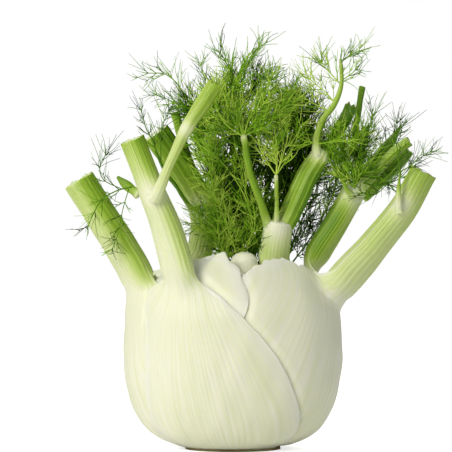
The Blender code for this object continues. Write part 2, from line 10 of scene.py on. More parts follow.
import bmesh
import bpy
import numpy as np
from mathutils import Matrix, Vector


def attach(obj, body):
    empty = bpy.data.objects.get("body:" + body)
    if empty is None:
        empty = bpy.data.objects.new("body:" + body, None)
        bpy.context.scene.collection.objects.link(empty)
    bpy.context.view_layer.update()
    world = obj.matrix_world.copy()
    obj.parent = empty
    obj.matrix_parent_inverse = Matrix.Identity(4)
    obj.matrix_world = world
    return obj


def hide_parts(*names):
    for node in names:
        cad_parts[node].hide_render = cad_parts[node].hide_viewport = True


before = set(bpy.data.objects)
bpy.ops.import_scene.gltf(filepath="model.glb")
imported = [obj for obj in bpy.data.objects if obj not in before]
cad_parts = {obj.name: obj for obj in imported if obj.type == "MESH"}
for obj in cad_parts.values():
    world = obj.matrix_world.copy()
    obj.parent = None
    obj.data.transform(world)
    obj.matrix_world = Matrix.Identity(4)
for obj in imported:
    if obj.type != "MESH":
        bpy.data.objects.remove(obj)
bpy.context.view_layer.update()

bl_info = {
    "name": "Fennel bulb",
    "version": (1, 0, 0),
    "blender": (4, 5, 0),
    "location": "View3D > Sidebar > Fennel",
    "description": "Builds a trimmed fennel bulb with its stalks and fronds round its solid model",
    "category": "Object",
}

MM = 0.001
# The air left between two leaf bases, and round a stalk that leaves the bulb.
GAP = 0.3
STALK_GAP = 0.8
# The radius at which a turn is unrolled into a length.
SWEEP_RADIUS = 45.0
LINE_STEPS = 40
CURVE_STEPS = 160

# How finely a leaf is divided: across its base, up its base and up its stalk.
LEAF_COLUMNS = 150
LEAF_BASE_ROWS = 90
LEAF_STALK_ROWS = 60
# The veins on a leaf base and the ridges on the front of a stalk.
BASE_VEINS = 46
STALK_RIDGES = 11
# The height that veins fan out below, how wide the fan starts and how fast it widens.
FAN_TOP = 86.0
FAN_ROOT = 6.0
FAN_GROWTH = 1.1
# How uneven a free edge is all along, and round the torn rim at the top of the bulb: degrees, degrees and
# millimetres. The rim starts at this height. Far apart are a leaf's two edges, so that they differ.
EDGE_WANDER = 0.25
RIM_WANDER = 0.7
RIM_CRINKLE = 0.6
RIM_HEIGHT = 70.0
RIM_ZONE = 10.0
EDGES_APART = 40.0
# How far a leaf's free edge is rounded.
EDGE_ROUNDING = 0.35
# The patches where a leaf's veins stand out more or less, and its soft dents.
VEIN_PATCH = 22.0
DENT_SIZE = 16.0
DENT_DEPTH = 0.35
# How far a joint swells on a leaf's stalk and on a side stem, and the soft dents of a stem.
LEAF_JOINT_SWELL = 0.9
STEM_JOINT_SWELL = 0.5
STEM_DENT_SIZE = 6.0
STEM_DENT_DEPTH = 0.12
# A cut end: how uneven its edge and its flesh are and the size of their bumps, and its rings: how wide each
# is beside the cut and how far it lies in it.
LEAF_CUT = {
    "edge": (0.5, 5.0),
    "flesh": (0.12, 1.6),
    "profile": (
        (0.985, -0.12), (0.95, -0.05), (0.86, 0.05), (0.7, 0.12), (0.45, 0.15), (0.18, 0.12), (0.03, 0.1),
    ),
}
STEM_CUT = {
    "edge": (0.25, 4.0),
    "flesh": (0.08, 1.2),
    "profile": ((0.97, -0.08), (0.9, 0.0), (0.7, 0.1), (0.4, 0.15), (0.1, 0.12)),
}
STEM_TEAR = {**STEM_CUT, "edge": (1.4, 2.2)}
# How green the flesh of a cut is beside the skin round it.
CUT_GREEN = 0.6
# The rounded top of a stalk that ends in a joint, and of a stem: how wide each ring is, and how high it lies.
# A stem's heights are shares of its radius.
JOINT_DOME = ((0.99, 0.4), (0.96, 0.8), (0.88, 1.3), (0.72, 1.7), (0.5, 1.95), (0.25, 2.1), (0.05, 2.15))
STEM_DOME = ((0.93, 0.35), (0.75, 0.68), (0.45, 0.9), (0.12, 1.0))
# The last radius of a stem that ends in a point, as a share of its own.
POINT_SHARE = 0.35
# How far a stem reaches down into its joint, and how far its foot leans to the joint's middle.
STEM_ROOT = 3.0
STEM_LEAN = 0.45
# A stem thicker than this is as wide as its joint, and its foot does not widen.
THICK_STEM = 3.6
THIN_FLARE = 1.3
THICK_FLARE = 0.85
# How deep a stem's ribs are, as a share of its radius.
RIB_DEPTH = 0.07
# How wide the skin's pattern is round a leaf and round a stem, in metres.
LEAF_GIRTH = 0.1
STEM_GIRTH = 0.04
THREAD_RADIUS = 0.18
THREAD_SIDES = 4
# Ribs fork only once on a midrib this thin.
WISP_RADIUS = 0.31
# Where along a line its pairs of threads leave: the last threads' line first. Threads bend up a little.
FORKS = ((0.35, 0.8), (0.25, 0.6, 1.0))
UPWARD = np.array([0.0, 0.0, 0.12])
# How far apart two threads of a pair point, in degrees from their line, and how much they bend.
FORK_ANGLES = (18, 44)
THREAD_BEND = 0.24
RIB_BEND = 0.14
# How long the threads are on a side rib, and at the tip of a midrib.
RIB_REACH = (4.5, 8.5)
TIP_REACH = (5.0, 8.0)
# How many waves add up to an uneven surface.
WAVE_COUNT = 7
# The rings of the root cut: how many, and how far apart.
ROOT_RINGS = 4
STEM_INSET = 2.5
# The brightness of the even light. The lamps: name, place and size in metres, power in watts and colour.
# They shine at the lit place.
WORLD_STRENGTH = 0.32
LAMPS = (
    ("key", (-0.75, -0.9, 0.75), 0.6, 11.2, "#FFFBF2"),
    ("fill", (0.9, -0.7, 0.3), 0.8, 0.4, "#F6FAFF"),
    ("back", (-0.2, 0.9, 0.7), 0.8, 4.0, "#FFFFFF"),
)
LIT_PLACE = (0.0, 0.0, 0.09)
# How much brighter the camera sees the floor than its paper, as a floor lit from below is.
FLOOR_GLOW = 0.72
# The middle and the width of the view, in millimetres.
VIEW_TARGET = (-3.2, 0.0, 102.4)
VIEW_WIDTH = 207.5
# Leaf skin from cream white to deep green.
SKIN_STOPS = (
    (0.0, "#F4F5E2"),
    (0.12, "#EAEECF"),
    (0.28, "#D9E5A6"),
    (0.45, "#BDD373"),
    (0.63, "#9ABC3B"),
    (0.82, "#7BA31E"),
    (1.0, "#56880E"),
)
# How wide and how long the skin's streaks are, coarse then fine, in metres.
STREAKS = ((0.0016, 0.06), (0.0006, 0.03))
# Leaf threads from deep to young green.
THREAD_STOPS = ((0.0, "#294B05"), (0.3, "#639614"), (0.6, "#94C926"), (1.0, "#D0EA62"))

# Where two faces of a piece meet at more than this many degrees, the shading has an edge.
CORNER_ANGLE = 50

# The heart bud: heights, and how much of the middle room it fills at each.
BUD_HEIGHTS = (17.5, 18.6, 22, 30, 42, 55, 68, 78, 84, 87.5, 89.8, 90.8)
BUD_SHARES = (0.25, 0.6, 0.9, 1, 1, 1, 0.95, 0.92, 0.98, 0.9, 0.62, 0.2)
BUD_SIDES = 40
BUD_ROWS = 90

# The short stem's profile from its top to its cut: radius, height. Its cut is oval, as deep as this share
# of its width.
STEM_BASE_PROFILE = (
    (0.0, 16.5),
    (2.5, 15.8),
    (5.5, 12.0),
    (9.0, 8.0),
    (14.0, 4.8),
    (21.5, 1.5),
    (22.0, 0.0),
)
STEM_BASE_DEPTH_SHARE = 0.74

# The bulb's outline: height, half width, half depth.
OUTLINE = (
    (1.5, 25.0, 19.0),
    (5.0, 34.0, 25.5),
    (10.0, 40.5, 30.0),
    (17.5, 45.4, 33.5),
    (26.0, 48.4, 35.5),
    (34.0, 49.8, 36.5),
    (44.0, 50.3, 37.0),
    (58.0, 49.6, 36.0),
    (66.0, 48.2, 34.5),
    (73.0, 45.4, 31.5),
    (79.0, 41.5, 27.5),
    (85.0, 36.5, 23.0),
    (91.0, 31.0, 19.0),
    (98.0, 26.0, 16.0),
)

# The room kept in the middle for the stem and the heart bud: height, half width, half depth, centre x
# and centre y.
CORE = (
    (1.5, 23.0, 17.0, 0.0, 0.0),
    (5.0, 17.0, 12.5, 0.0, 0.0),
    (10.0, 10.0, 7.5, 0.0, 0.0),
    (16.0, 6.5, 5.0, 0.0, 0.0),
    (26.0, 9.5, 7.0, 0.0, 0.0),
    (40.0, 11.5, 8.0, 0.5, -1.0),
    (60.0, 9.5, 7.0, 2.5, -3.5),
    (76.0, 6.8, 5.8, 4.6, -6.5),
    (98.0, 6.0, 5.5, 5.2, -7.5),
)

# How thick a leaf base grows with height, as a share of its full thickness.
THICKNESS_BY_HEIGHT = ((1.5, 0.2), (6.0, 0.5), (15.0, 1.0), (58.0, 1.0), (76.0, 1.5))
# A free edge's thickness, the width over which a leaf thins towards it, and the width of the step beside it.
EDGE_THICKNESS = 0.8
EDGE_ZONE = 17.0
TUCK_ZONE = 4.0
# The stalk's shape is complete this far up (1 is the foot of the stalk). Edges turn into the stalk later
# than the middle does, by this power of their distance from it.
BLEND_END = 1.12
EDGE_LAG = 1.5
# The part of an outer stalk's route that presses the inner leaves in, and how often that is repeated.
STALK_ROOT_SHARE = 0.05
STALK_TOP_SHARE = 0.9
PRESS_PASSES = 3
# The step along a route, as a share of it, that gives its direction.
TANGENT_STEP = 0.01

# Each leaf base is swept between a first and a last free edge, through its middle line, from the stem
# to the foot of its stalk: (turn, height) pairs. The stalk then follows its route to the cut end.
# A stalk has a width and a depth at each point of its route. The blend says how many steps before its foot
# the stalk begins to swell out of the middle of the leaf base, and out of its edges. The leaves
# are listed from the outermost inwards.
LEAVES = {
    "front_left_leaf": {
        "first": (
            (-66, 1.5), (-58, 15), (-54, 30), (-52, 44), (-53, 58), (-56, 68), (-57, 74.5),
            (-50, 79.5),
        ),
        "middle": (
            (-12, 1.5), (-11, 15), (-14, 30), (-18, 44), (-25, 57), (-33, 66), (-36, 72), (-36, 78),
        ),
        "last": ((48, 1.5), (43, 15), (33, 30), (23.5, 44), (10, 58), (-2, 68), (-13, 75), (-21, 79)),
        "route": (
            (-25.5, -26, 66), (-24.5, -25.5, 80), (-29.6, -24.5, 100.5), (-36.1, -26, 118),
            (-41, -27, 131), (-45.4, -28, 142.3),
        ),
        "width": (17.5, 16.8, 15, 12, 11.3, 11.5),
        "depth": (9, 11, 11.5, 10.5, 10, 10),
        "facing": -36,
        "blend": (2.6, 1.2),
        "thick": 4.2,
    },
    "far_left_leaf": {
        "first": (
            (-168, 1.5), (-166, 15), (-163, 30), (-158, 44), (-148, 58), (-132, 69), (-116, 75.5),
            (-103, 80),
        ),
        "middle": (
            (-100, 1.5), (-98, 15), (-96, 30), (-94, 44), (-91, 54), (-88, 62), (-84, 70), (-80, 77),
        ),
        "last": (
            (-34, 1.5), (-36, 15), (-38, 30), (-40, 44), (-42, 58), (-45, 69), (-49, 76), (-55, 80),
        ),
        "route": (
            (-44.5, -6, 56), (-43, -6, 76), (-51, -7, 93), (-60.5, -8.5, 108.2), (-70.2, -10, 123.7),
        ),
        "width": (30, 19, 16.8, 16.2, 16.4),
        "depth": (12, 14, 13.8, 13, 13),
        "facing": -50,
        "blend": (4.6, 1.4),
        "thick": 4.2,
    },
    "back_left_leaf": {
        "first": (
            (-215, 2.5), (-214, 15), (-211, 30), (-207, 44), (-202, 58), (-196, 68), (-190, 74),
            (-184, 79), (-176, 83), (-170, 84), (-168, 85),
        ),
        "middle": (
            (-118, 2.5), (-118, 15), (-118, 30), (-119, 44), (-121, 56), (-124, 65), (-128, 70),
            (-132, 74), (-137, 78), (-143, 81), (-146, 84),
        ),
        "last": (
            (-14, 2.5), (-10, 15), (-6, 30), (-1, 44), (4, 59), (8.5, 69), (6.5, 79), (-1, 86),
            (-13, 90.5), (-36, 74), (-78, 68), (-118, 72),
        ),
        "route": ((-19, 15, 76), (-16, 13.5, 88), (-13.3, 12.5, 101), (-15, 12, 112)),
        "width": (14, 12.5, 12, 11.5),
        "depth": (8, 10, 10.5, 10.5),
        "facing": -150,
        "blend": (3.4, 0.8),
        "thick": 3.8,
    },
    "right_leaf": {
        "first": (
            (6, 2.5), (3, 15), (-2, 30), (-6, 44), (-9, 58), (-6, 71), (6, 80.5), (19, 85.6), (42, 88.2),
            (57, 84.8), (71, 84),
        ),
        "middle": (
            (92, 2.5), (91, 15), (90, 30), (88, 43), (86, 52), (84, 59), (83, 64), (82, 67), (81, 70),
            (80, 73), (80, 76),
        ),
        "last": (
            (170, 2.5), (170, 15), (169, 30), (165, 44), (158, 57), (146, 66), (133, 71), (122, 74),
            (112, 76), (105, 77.5), (98, 78.5),
        ),
        "route": ((43, -4.5, 50), (48, -5, 73), (63.5, -6, 92.5), (77.4, -7, 110.2), (87, -8, 127.4)),
        "width": (30, 21, 16.4, 14.6, 13.9),
        "depth": (12, 14, 13, 12, 11.5),
        "facing": 52,
        "blend": (6.4, 0.6),
        "thick": 3.8,
    },
    "inner_right_leaf": {
        "first": ((32, 11), (31, 20), (34, 44), (48, 60), (70, 70), (88, 78), (94, 84)),
        "middle": ((104, 11), (104, 20), (104, 44), (105, 60), (106, 68), (107, 75), (109, 82)),
        "last": ((192, 11), (194, 20), (192, 44), (184, 60), (166, 71), (150, 78), (136, 84)),
        "route": ((28.5, 10, 70), (37, 10.5, 86), (48, 12, 104), (56, 13, 118.4)),
        "width": (16, 15, 12.4, 11.5),
        "depth": (8, 10, 11, 10.5),
        "facing": 60,
        "blend": (2.2, 1.0),
        "thick": 3.4,
    },
    "center_leaf": {
        "first": (
            (-98, 13), (-98, 26), (-98, 44), (-98, 58), (-96, 70), (-80, 78), (-34, 81), (12, 81.5),
            (36, 81),
        ),
        "middle": (
            (80, 13), (80, 26), (80, 44), (80, 56), (79, 65), (77, 70), (74, 74), (72, 76.5), (70, 78),
        ),
        "last": (
            (258, 13), (258, 26), (258, 44), (258, 58), (256, 70), (232, 78), (184, 82), (132, 82),
            (104, 81),
        ),
        "route": ((21.5, 0, 70), (19.2, -1.5, 84), (19, -2, 91), (20.7, -2, 102.8)),
        "width": (16, 14.8, 14.2, 12.9),
        "depth": (10, 11, 11.5, 11),
        "facing": 20,
        "blend": (3.0, 0.8),
        "thick": 3.6,
    },
}

# Side stems and the cut upper lengths of the stalks: the route's points and the radius at each of them.
STEMS = {
    "front_left_side_stem": {
        "route": (
            (-33.8, -34, 118.5), (-28, -35.5, 132), (-21, -35, 147), (-14.5, -33, 157),
            (-8.5, -31, 166.2),
        ),
        "radii": (2.3, 2.1, 2.6, 3.4, 3.5),
    },
    "far_left_stub": {
        "route": ((-44.8, -21.8, 119), (-48.2, -20.5, 121.6), (-52, -19.5, 125)),
        "radii": (1.8, 2.1, 2.1),
    },
    "back_left_stalk_top": {
        "route": ((-15.9, 12, 114), (-20, 11, 122), (-27, 9, 133), (-35.6, 7, 145)),
        "radii": (5.6, 5.8, 6.0, 6.2),
    },
    "back_left_slim_stem": {
        "route": ((-10, 21, 110), (-17.5, 21.5, 125), (-22.5, 22, 138), (-26.9, 22.5, 154.7)),
        "radii": (2.0, 2.0, 2.0, 2.1),
    },
    "back_left_twig": {
        "route": ((-20.5, 2.4, 112), (-26, 0, 120.5), (-30.8, -2, 127), (-35.8, -4, 137)),
        "radii": (0.9, 0.9, 0.8, 0.8),
    },
    "back_left_stub": {
        "route": ((-9.6, 4.3, 109), (-10.6, 3.6, 115), (-11.6, 3, 120)),
        "radii": (1.5, 1.5, 1.6),
    },
    "center_left_stem": {
        "route": ((15.6, -5.2, 104.4), (12.6, -10, 114), (7.8, -14, 127), (4.9, -15, 143.2)),
        "radii": (1.9, 1.6, 1.5, 1.4),
    },
    "center_thin_stem": {
        "route": ((19.8, -5.8, 103.8), (20, -7.2, 113), (19.7, -8, 125.3)),
        "radii": (1.1, 0.95, 0.9),
    },
    "center_stalk_top": {
        "route": ((24.5, -0.3, 104.5), (29, 0.5, 114), (34.4, 1, 126), (39.6, 1.5, 134)),
        "radii": (4.4, 4.8, 4.7, 4.2),
    },
    "center_right_tall_stem": {
        "route": (
            (38.2, -1.6, 138), (38.4, -2.2, 143.2), (41, -2.5, 151), (46.8, -3, 158.8),
            (49.6, -3, 168), (49.2, -3, 178.5),
        ),
        "radii": (1.6, 1.6, 1.4, 1.2, 0.9, 0.7),
    },
    "center_right_cut_stem": {
        "route": ((43.4, 4, 135.8), (47.8, 5, 145), (52, 6, 152), (54.6, 6.5, 157.4)),
        "radii": (2.5, 2.7, 2.8, 2.9),
    },
    "center_right_strip_stem": {
        "route": ((55.8, 19, 137), (56.8, 18.5, 145), (58.4, 17.5, 156), (60, 17, 166.6)),
        "radii": (1.4, 1.35, 1.3, 1.4),
    },
    "inner_right_front_stem": {
        "route": ((60, 8.5, 121), (66, 6.5, 127.4), (73.4, 4.5, 135.5), (81, 2.5, 141.4)),
        "radii": (2.4, 2.4, 2.3, 2.3),
    },
    "inner_right_stalk_top": {
        "route": ((61.5, 18, 117.5), (68, 17, 124.5), (74.5, 16, 131), (80.5, 15, 138)),
        "radii": (3.7, 4.2, 4.3, 3.9),
    },
    "inner_right_back_stem": {
        "route": ((60.5, 24.2, 124), (67.5, 25, 132.4), (73.5, 25.4, 140.4), (78.2, 25.6, 148.2)),
        "radii": (2.6, 2.7, 2.2, 0.9),
    },
    "inner_right_upright_stem": {
        "route": ((57.3, 19.4, 122.2), (59, 21.2, 134), (61.5, 22, 143), (63.4, 22, 149.5)),
        "radii": (1.3, 1.6, 1.6, 0.8),
    },
    "inner_right_thin_stem": {
        "route": ((52.4, 3.8, 119), (50, 2.5, 124), (45, 1.5, 130)),
        "radii": (0.8, 0.7, 0.6),
    },
    "right_side_stem": {
        "route": ((75.2, -16, 110.8), (75, -16.8, 118), (75.7, -16, 127.6)),
        "radii": (1.2, 0.9, 0.7),
    },
}

# How each leaf looks: how green its stalk is at its foot, halfway and at its top, how much greener its
# left and right edges are, and whether its stalk ends in a cut or in a joint that stems grow from.
# The extra green of the left and right edges is partly the stalk's own colour and partly painted shade,
# mostly on the side away from the key light.
LEAF_LOOKS = {
    "front_left_leaf": {"green": (0.06, 0.17, 0.48), "left": 0.0, "right": 0.3, "end": "cut", "seed": 11},
    "far_left_leaf": {"green": (0.07, 0.24, 0.38), "left": 0.0, "right": 0.34, "end": "cut", "seed": 12},
    "back_left_leaf": {"green": (0.3, 0.38, 0.25), "left": 0.35, "right": 0.0, "end": "joint", "seed": 13},
    "right_leaf": {"green": (0.16, 0.32, 0.52), "left": 0.05, "right": 0.12, "end": "cut", "seed": 14},
    "inner_right_leaf": {"green": (0.42, 0.5, 0.25), "left": 0.3, "right": 0.0, "end": "joint", "seed": 15},
    "center_leaf": {
        "green": (0.2, 0.3, 0.12), "left": 0.0, "right": 0.1, "end": "joint", "seed": 16, "ridged": 0.5,
    },
}

# The pale swollen joints of the stalks: place and radius.
JOINTS = (
    ((-35.5, -30.0, 118.5), 7.0),
    ((19.5, -5.0, 102.5), 6.0),
    ((55.5, 8.0, 117.5), 7.0),
    ((75.8, -16.5, 113.0), 7.2),
    ((-15.0, 8.0, 111.5), 6.0),
    ((39.5, -1.0, 135.5), 5.0),
    ((-21.5, -36.0, 147.0), 3.6),
)

# How each stem looks: how green it is at its foot and at its end, how it ends, and its number of ribs.
# Painted shade goes on top of this green: make_stem paints each stem greener on its right side, away from the
# key light, and paler on its left.
STEM_LOOKS = {
    "front_left_side_stem": {"green": (0.2, 0.58), "end": "cut", "ribs": 10},
    "far_left_stub": {"green": (0.55, 0.75), "end": "point", "ribs": 6},
    "back_left_stalk_top": {"green": (0.48, 0.7), "end": "cut", "ribs": 12},
    "back_left_slim_stem": {"green": (0.51, 0.72), "end": "cut", "ribs": 7},
    "back_left_twig": {"green": (0.85, 1.0), "end": "point", "ribs": 5},
    "back_left_stub": {"green": (0.5, 0.7), "end": "point", "ribs": 5},
    "center_left_stem": {"green": (0.62, 0.72), "end": "joint", "ribs": 7},
    "center_thin_stem": {"green": (0.55, 0.62), "end": "joint", "ribs": 5},
    "center_stalk_top": {"green": (0.74, 0.7), "end": "joint", "ribs": 12},
    "center_right_tall_stem": {"green": (0.5, 0.55), "end": "joint", "ribs": 6},
    "center_right_cut_stem": {"green": (0.8, 0.95), "end": "ragged", "ribs": 8},
    "center_right_strip_stem": {"green": (0.9, 0.85), "end": "cut", "ribs": 6},
    "inner_right_front_stem": {"green": (0.48, 0.66), "end": "cut", "ribs": 8},
    "inner_right_stalk_top": {"green": (0.6, 0.85), "end": "cut", "ribs": 10},
    "inner_right_back_stem": {"green": (0.75, 0.95), "end": "point", "ribs": 8},
    "inner_right_upright_stem": {"green": (0.85, 0.95), "end": "point", "ribs": 6},
    "inner_right_thin_stem": {"green": (0.85, 0.9), "end": "point", "ribs": 5},
    "right_side_stem": {"green": (0.45, 0.85), "end": "point", "ribs": 6},
}

# How often the ribs of a frond fork where it isn't twice, and how thick its threads are.
FROND_STYLES = {
    "top_left_frond": (1, 0.85),
    "top_left_light_frond": (1, 0.85),
    "left_dark_frond": (1, 0.9),
    "left_side_frond": (1, 0.9),
    "right_frond": (1, 0.8),
    "far_right_frond": (1, 1.0),
    "center_back_frond": (2, 1.9),
    "center_front_frond": (2, 1.15),
    "center_top_frond": (2, 1.1),
}

# The feathers that make up each frond: a route, how far the side ribs reach, pairs of side ribs, the
# bare share of the route, how light its green is (0 to 1) and how thick its midrib is.
FRONDS = {
    "center_top_frond": (
        (((4.8, -15, 143.5), (1.4, -14, 154), (-0.5, -13, 162), (1.4, -12, 170)), 9, 5, 0.05, 0.65, 0.5),
        (((4.8, -15, 143.5), (7.8, -13, 153), (13.3, -12, 161), (16, -12, 168)), 10, 5, 0.05, 0.7, 0.5),
        (((4.8, -15, 143.5), (-1.7, -14, 147.7), (-6, -14, 153), (-9, -13, 160)), 7, 5, 0.1, 0.75, 0.4),
        (((4.8, -15, 143.5), (12, -13, 148), (17, -12, 153), (22, -11, 157)), 8, 5, 0.1, 0.65, 0.4),
        (((4.8, -10, 143.5), (2, -6, 152), (5, -3, 160), (9, 0, 166)), 10, 7, 0.05, 0.25, 0.4),
        (((4, -8, 138), (-6, -5, 144), (-13, -4, 150), (-18, -3, 154)), 8, 6, 0.05, 0.3, 0.4),
        (((0, -11, 164), (0, -10, 171), (-3, -9, 177), (-6, -9, 182)), 11, 4, 0.2, 0.35, 0.25),
        (((2, -11, 164), (5, -10, 171), (7, -9, 178), (12, -9, 185)), 12, 4, 0.2, 0.35, 0.25),
    ),
    "center_front_frond": (
        (((19.7, -8.2, 125.8), (20.2, -9, 137), (18.8, -10, 146), (14.3, -10, 156)), 7, 5, 0.12, 0.85, 0.42),
        (((19.7, -8.2, 125.8), (23, -9, 136), (25, -9, 146), (22, -9, 154)), 7, 4, 0.15, 0.85, 0.3),
        (((19.7, -8.2, 125.8), (25, -7, 134), (29, -6, 142), (31, -6, 149)), 7, 4, 0.2, 0.7, 0.3),
        (((19.7, -8.2, 125.8), (15, -9, 133), (12, -10, 139), (11, -10, 146)), 5, 4, 0.2, 0.8, 0.3),
    ),
    "center_back_frond": (
        (((9, 10, 84), (6, 14.5, 110), (1, 16.5, 136), (-5, 17, 162)), 13, 12, 0.05, 0.02, 0.8),
        (((9, 11, 84), (14, 16, 112), (22, 19, 136), (28, 20, 158)), 12, 12, 0.05, 0.02, 0.8),
        (((6, 10, 84), (-4, 15, 110), (-11, 17, 130), (-15, 18, 150)), 11, 11, 0.05, 0.05, 0.7),
        (((12, 10, 84), (18, 13, 100), (27, 14, 116), (33, 14, 134)), 11, 10, 0.05, 0.0, 0.6),
        (((7, 8, 84), (3, 11, 100), (4, 12, 118), (10, 13, 146)), 10, 12, 0.02, 0.05, 0.7),
        (((2, 9, 84), (-5, 10, 98), (-8, 11, 112), (-6, 12, 128)), 8, 9, 0.02, 0.08, 0.6),
        (((30, 14, 118), (34, 14, 130), (33, 13, 142), (27, 12, 154)), 9, 8, 0.02, 0.1, 0.5),
        (((17, 13, 98), (21, 14, 112), (22, 14, 126), (20, 13, 142)), 8, 9, 0.02, 0.02, 0.6),
    ),
    "center_left_frond": (
        (((4, 4, 84), (9, -1, 104), (1, -5, 124), (-15, -8, 142)), 9, 6, 0.25, 0.65, 0.6),
        (((-4, 6, 84), (-5, 1, 104), (-8, -3, 122), (-10, -5, 136)), 9, 6, 0.2, 0.7, 0.6),
        (((9, -1, 104), (6, -4, 118), (4, -6, 128), (6, -8, 140)), 8, 4, 0.15, 0.55, 0.3),
    ),
    "center_low_frond": (
        (((3, 2, 84), (0, -3, 95), (-4, -6, 106), (-9, -8, 118)), 9, 6, 0.1, 0.75, 0.5),
        (((5, 1, 84), (7, -3, 94), (10, -5, 103), (9, -6, 114)), 8, 5, 0.1, 0.6, 0.3),
        (((-2, 3, 82), (-4, -2, 90), (-8, -4, 98), (-14, -6, 104)), 7, 5, 0.1, 0.7, 0.4),
        (((10, 2, 84), (12, -1, 92), (14, -2, 100), (14, -2, 108)), 6, 5, 0.1, 0.2, 0.4),
    ),
    "back_right_low_frond": (
        (((24.5, 15.5, 84), (31, 18.5, 102), (38.5, 20, 118), (40.5, 21, 133)), 10, 8, 0.1, 0.25, 0.5),
        (((27, 16, 84), (36, 19, 96), (43, 21, 108), (48, 22, 120)), 8, 7, 0.1, 0.25, 0.45),
    ),
    "top_left_frond": (
        (
            ((-6, 24, 104), (-10, 26, 130), (-18, 28, 154), (-29, 28.5, 171), (-41, 28, 173)),
            11, 7, 0.5, 0.35, 0.6,
        ),
        (((-14, 27, 146), (-22, 28, 156), (-29, 28, 160), (-36, 28, 163)), 7, 5, 0.2, 0.35, 0.35),
    ),
    "top_left_light_frond": (
        (
            ((1, 21, 100), (-4, 22.5, 124), (-9, 24, 148), (-12, 24.5, 164), (-15, 24, 178)),
            8, 6, 0.6, 0.3, 0.5,
        ),
    ),
    "top_right_frond": (
        (((46.8, -3, 158.8), (42, -4, 164), (37, -4, 168), (33, -4, 172)), 10, 6, 0.05, 0.85, 0.3),
        (((44, -2.5, 155), (38, -3, 158), (33, -4, 161), (29, -4, 163)), 9, 6, 0.05, 0.8, 0.3),
        (((48.6, -3, 168), (44, -3, 173), (41, -3, 176), (40, -3, 178)), 9, 5, 0.05, 0.8, 0.3),
        (((49.2, -3, 176), (50, -3, 178), (53, -3, 180), (58, -3, 183)), 8, 4, 0.1, 0.5, 0.28),
        (((48.5, -3, 168), (51, -3, 170), (54, -3, 172), (56, -3, 174)), 7, 3, 0.1, 0.5, 0.28),
        (((38, 8.3, 134), (36, 9, 146), (33, 9.5, 154), (28, 10, 158)), 8, 7, 0.1, 0.3, 0.5),
        (((38.2, -3, 140), (32, -4, 142), (27, -5, 145), (22, -6, 149)), 8, 5, 0.1, 0.6, 0.3),
        (((38.2, -3, 140), (44, -5, 141), (49, -6, 142), (53, -6, 141)), 7, 3, 0.2, 0.6, 0.26),
    ),
    "inner_right_frond": (
        (((56, 6, 120), (55, 3, 127), (53, 2, 134), (49, 1, 141)), 7, 7, 0.02, 0.5, 0.5),
        (((56, 6, 120), (58, 4, 128), (59, 3, 136), (58, 3, 143)), 7, 7, 0.02, 0.55, 0.45),
        (((56, 6, 120), (51, 4, 124), (47, 3, 130), (45, 3, 137)), 6, 6, 0.05, 0.6, 0.4),
        (((60, 5, 122), (66, 3, 125), (70, 2, 123), (75, 1, 118)), 5, 4, 0.2, 0.2, 0.3),
        (((60, 5, 122), (68, 2, 121), (76, 0, 124), (82, 0, 130)), 5, 4, 0.2, 0.2, 0.3),
    ),
    "far_right_frond": (
        (((52, 21.5, 112), (58, 27.5, 124), (62, 33, 140), (66, 36, 154)), 12, 9, 0.3, 0.35, 0.5),
        (((52, 21.5, 112), (60, 28, 122), (70, 34, 136), (79, 37, 148)), 12, 9, 0.35, 0.35, 0.5),
    ),
    "right_frond": (
        (((75.7, -16, 127.6), (74.8, -16, 136), (73.8, -15.5, 143), (74.5, -15, 150)), 5, 4, 0.3, 0.15, 0.35),
        (((75.7, -16, 127.6), (80, -16, 130), (85, -16, 134), (90, -16, 137)), 5, 4, 0.3, 0.15, 0.3),
        (((75.7, -16, 127.6), (70, -17, 122), (64, -17, 117), (58, -16, 118)), 5, 4, 0.3, 0.15, 0.3),
    ),
    "left_dark_frond": (
        (((-33, -4.4, 132), (-37, -4.5, 142), (-40, -4.6, 148), (-42, -4.6, 156)), 5, 4, 0.2, 0.1, 0.4),
        (((-33, -4.4, 132), (-33, -4.6, 142), (-32, -4.6, 149), (-29, -4.6, 156)), 5, 4, 0.3, 0.15, 0.35),
    ),
    "left_side_frond": (
        (((-45.5, -27.5, 121), (-53, -29, 119), (-60, -29, 114), (-66, -28, 102)), 8, 5, 0.25, 0.15, 0.4),
        (((-50, -28, 120), (-58, -28.5, 124), (-60, -28.5, 130), (-57, -28.5, 136)), 5, 3, 0.3, 0.1, 0.25),
        (((-47, -27, 120), (-50, -22, 110), (-52, -20, 100), (-55, -19, 92)), 7, 5, 0.2, 0.2, 0.3),
    ),
}


def linear(hex_colour):
    """An sRGB hex colour as scene-linear red, green and blue."""
    parts = [int(hex_colour[i : i + 2], 16) / 255 for i in (1, 3, 5)]
    return tuple(p / 12.92 if p <= 0.04045 else ((p + 0.055) / 1.055) ** 2.4 for p in parts)


def smooth_step(value):
    """0 below 0, 1 above 1 and an even S between."""
    share = np.clip(value, 0.0, 1.0)
    return share * share * (3.0 - 2.0 * share)


def unit(vectors):
    """The direction of each vector."""
    return vectors / np.maximum(np.linalg.norm(vectors, axis=-1, keepdims=True), 1e-12)


def along(points, share):
    """The places at these shares (0 to 1) of a smooth curve through the points."""
    points = np.asarray(points, float)
    first = 2.0 * points[0] - points[1]
    last = 2.0 * points[-1] - points[-2]
    padded = np.vstack([first, points, last])
    place = np.clip(np.asarray(share, float), 0.0, 1.0) * (len(points) - 1)
    start = np.minimum(place.astype(int), len(points) - 2)
    part = (place - start)[..., None]
    a, b, c, d = (padded[start + step] for step in range(4))
    curve = (2.0 * a - 5.0 * b + 4.0 * c - d) * part**2 + (3.0 * b - a - 3.0 * c + d) * part**3
    return b + 0.5 * ((c - a) * part + curve)


OUTLINE_CURVE = along(OUTLINE, np.linspace(0, 1, CURVE_STEPS))
CORE_CURVE = along(CORE, np.linspace(0, 1, CURVE_STEPS))


def by_height(curve, height, column):
    """A column of a table of heights, at this height."""
    return np.interp(height, curve[:, 0], curve[:, column])


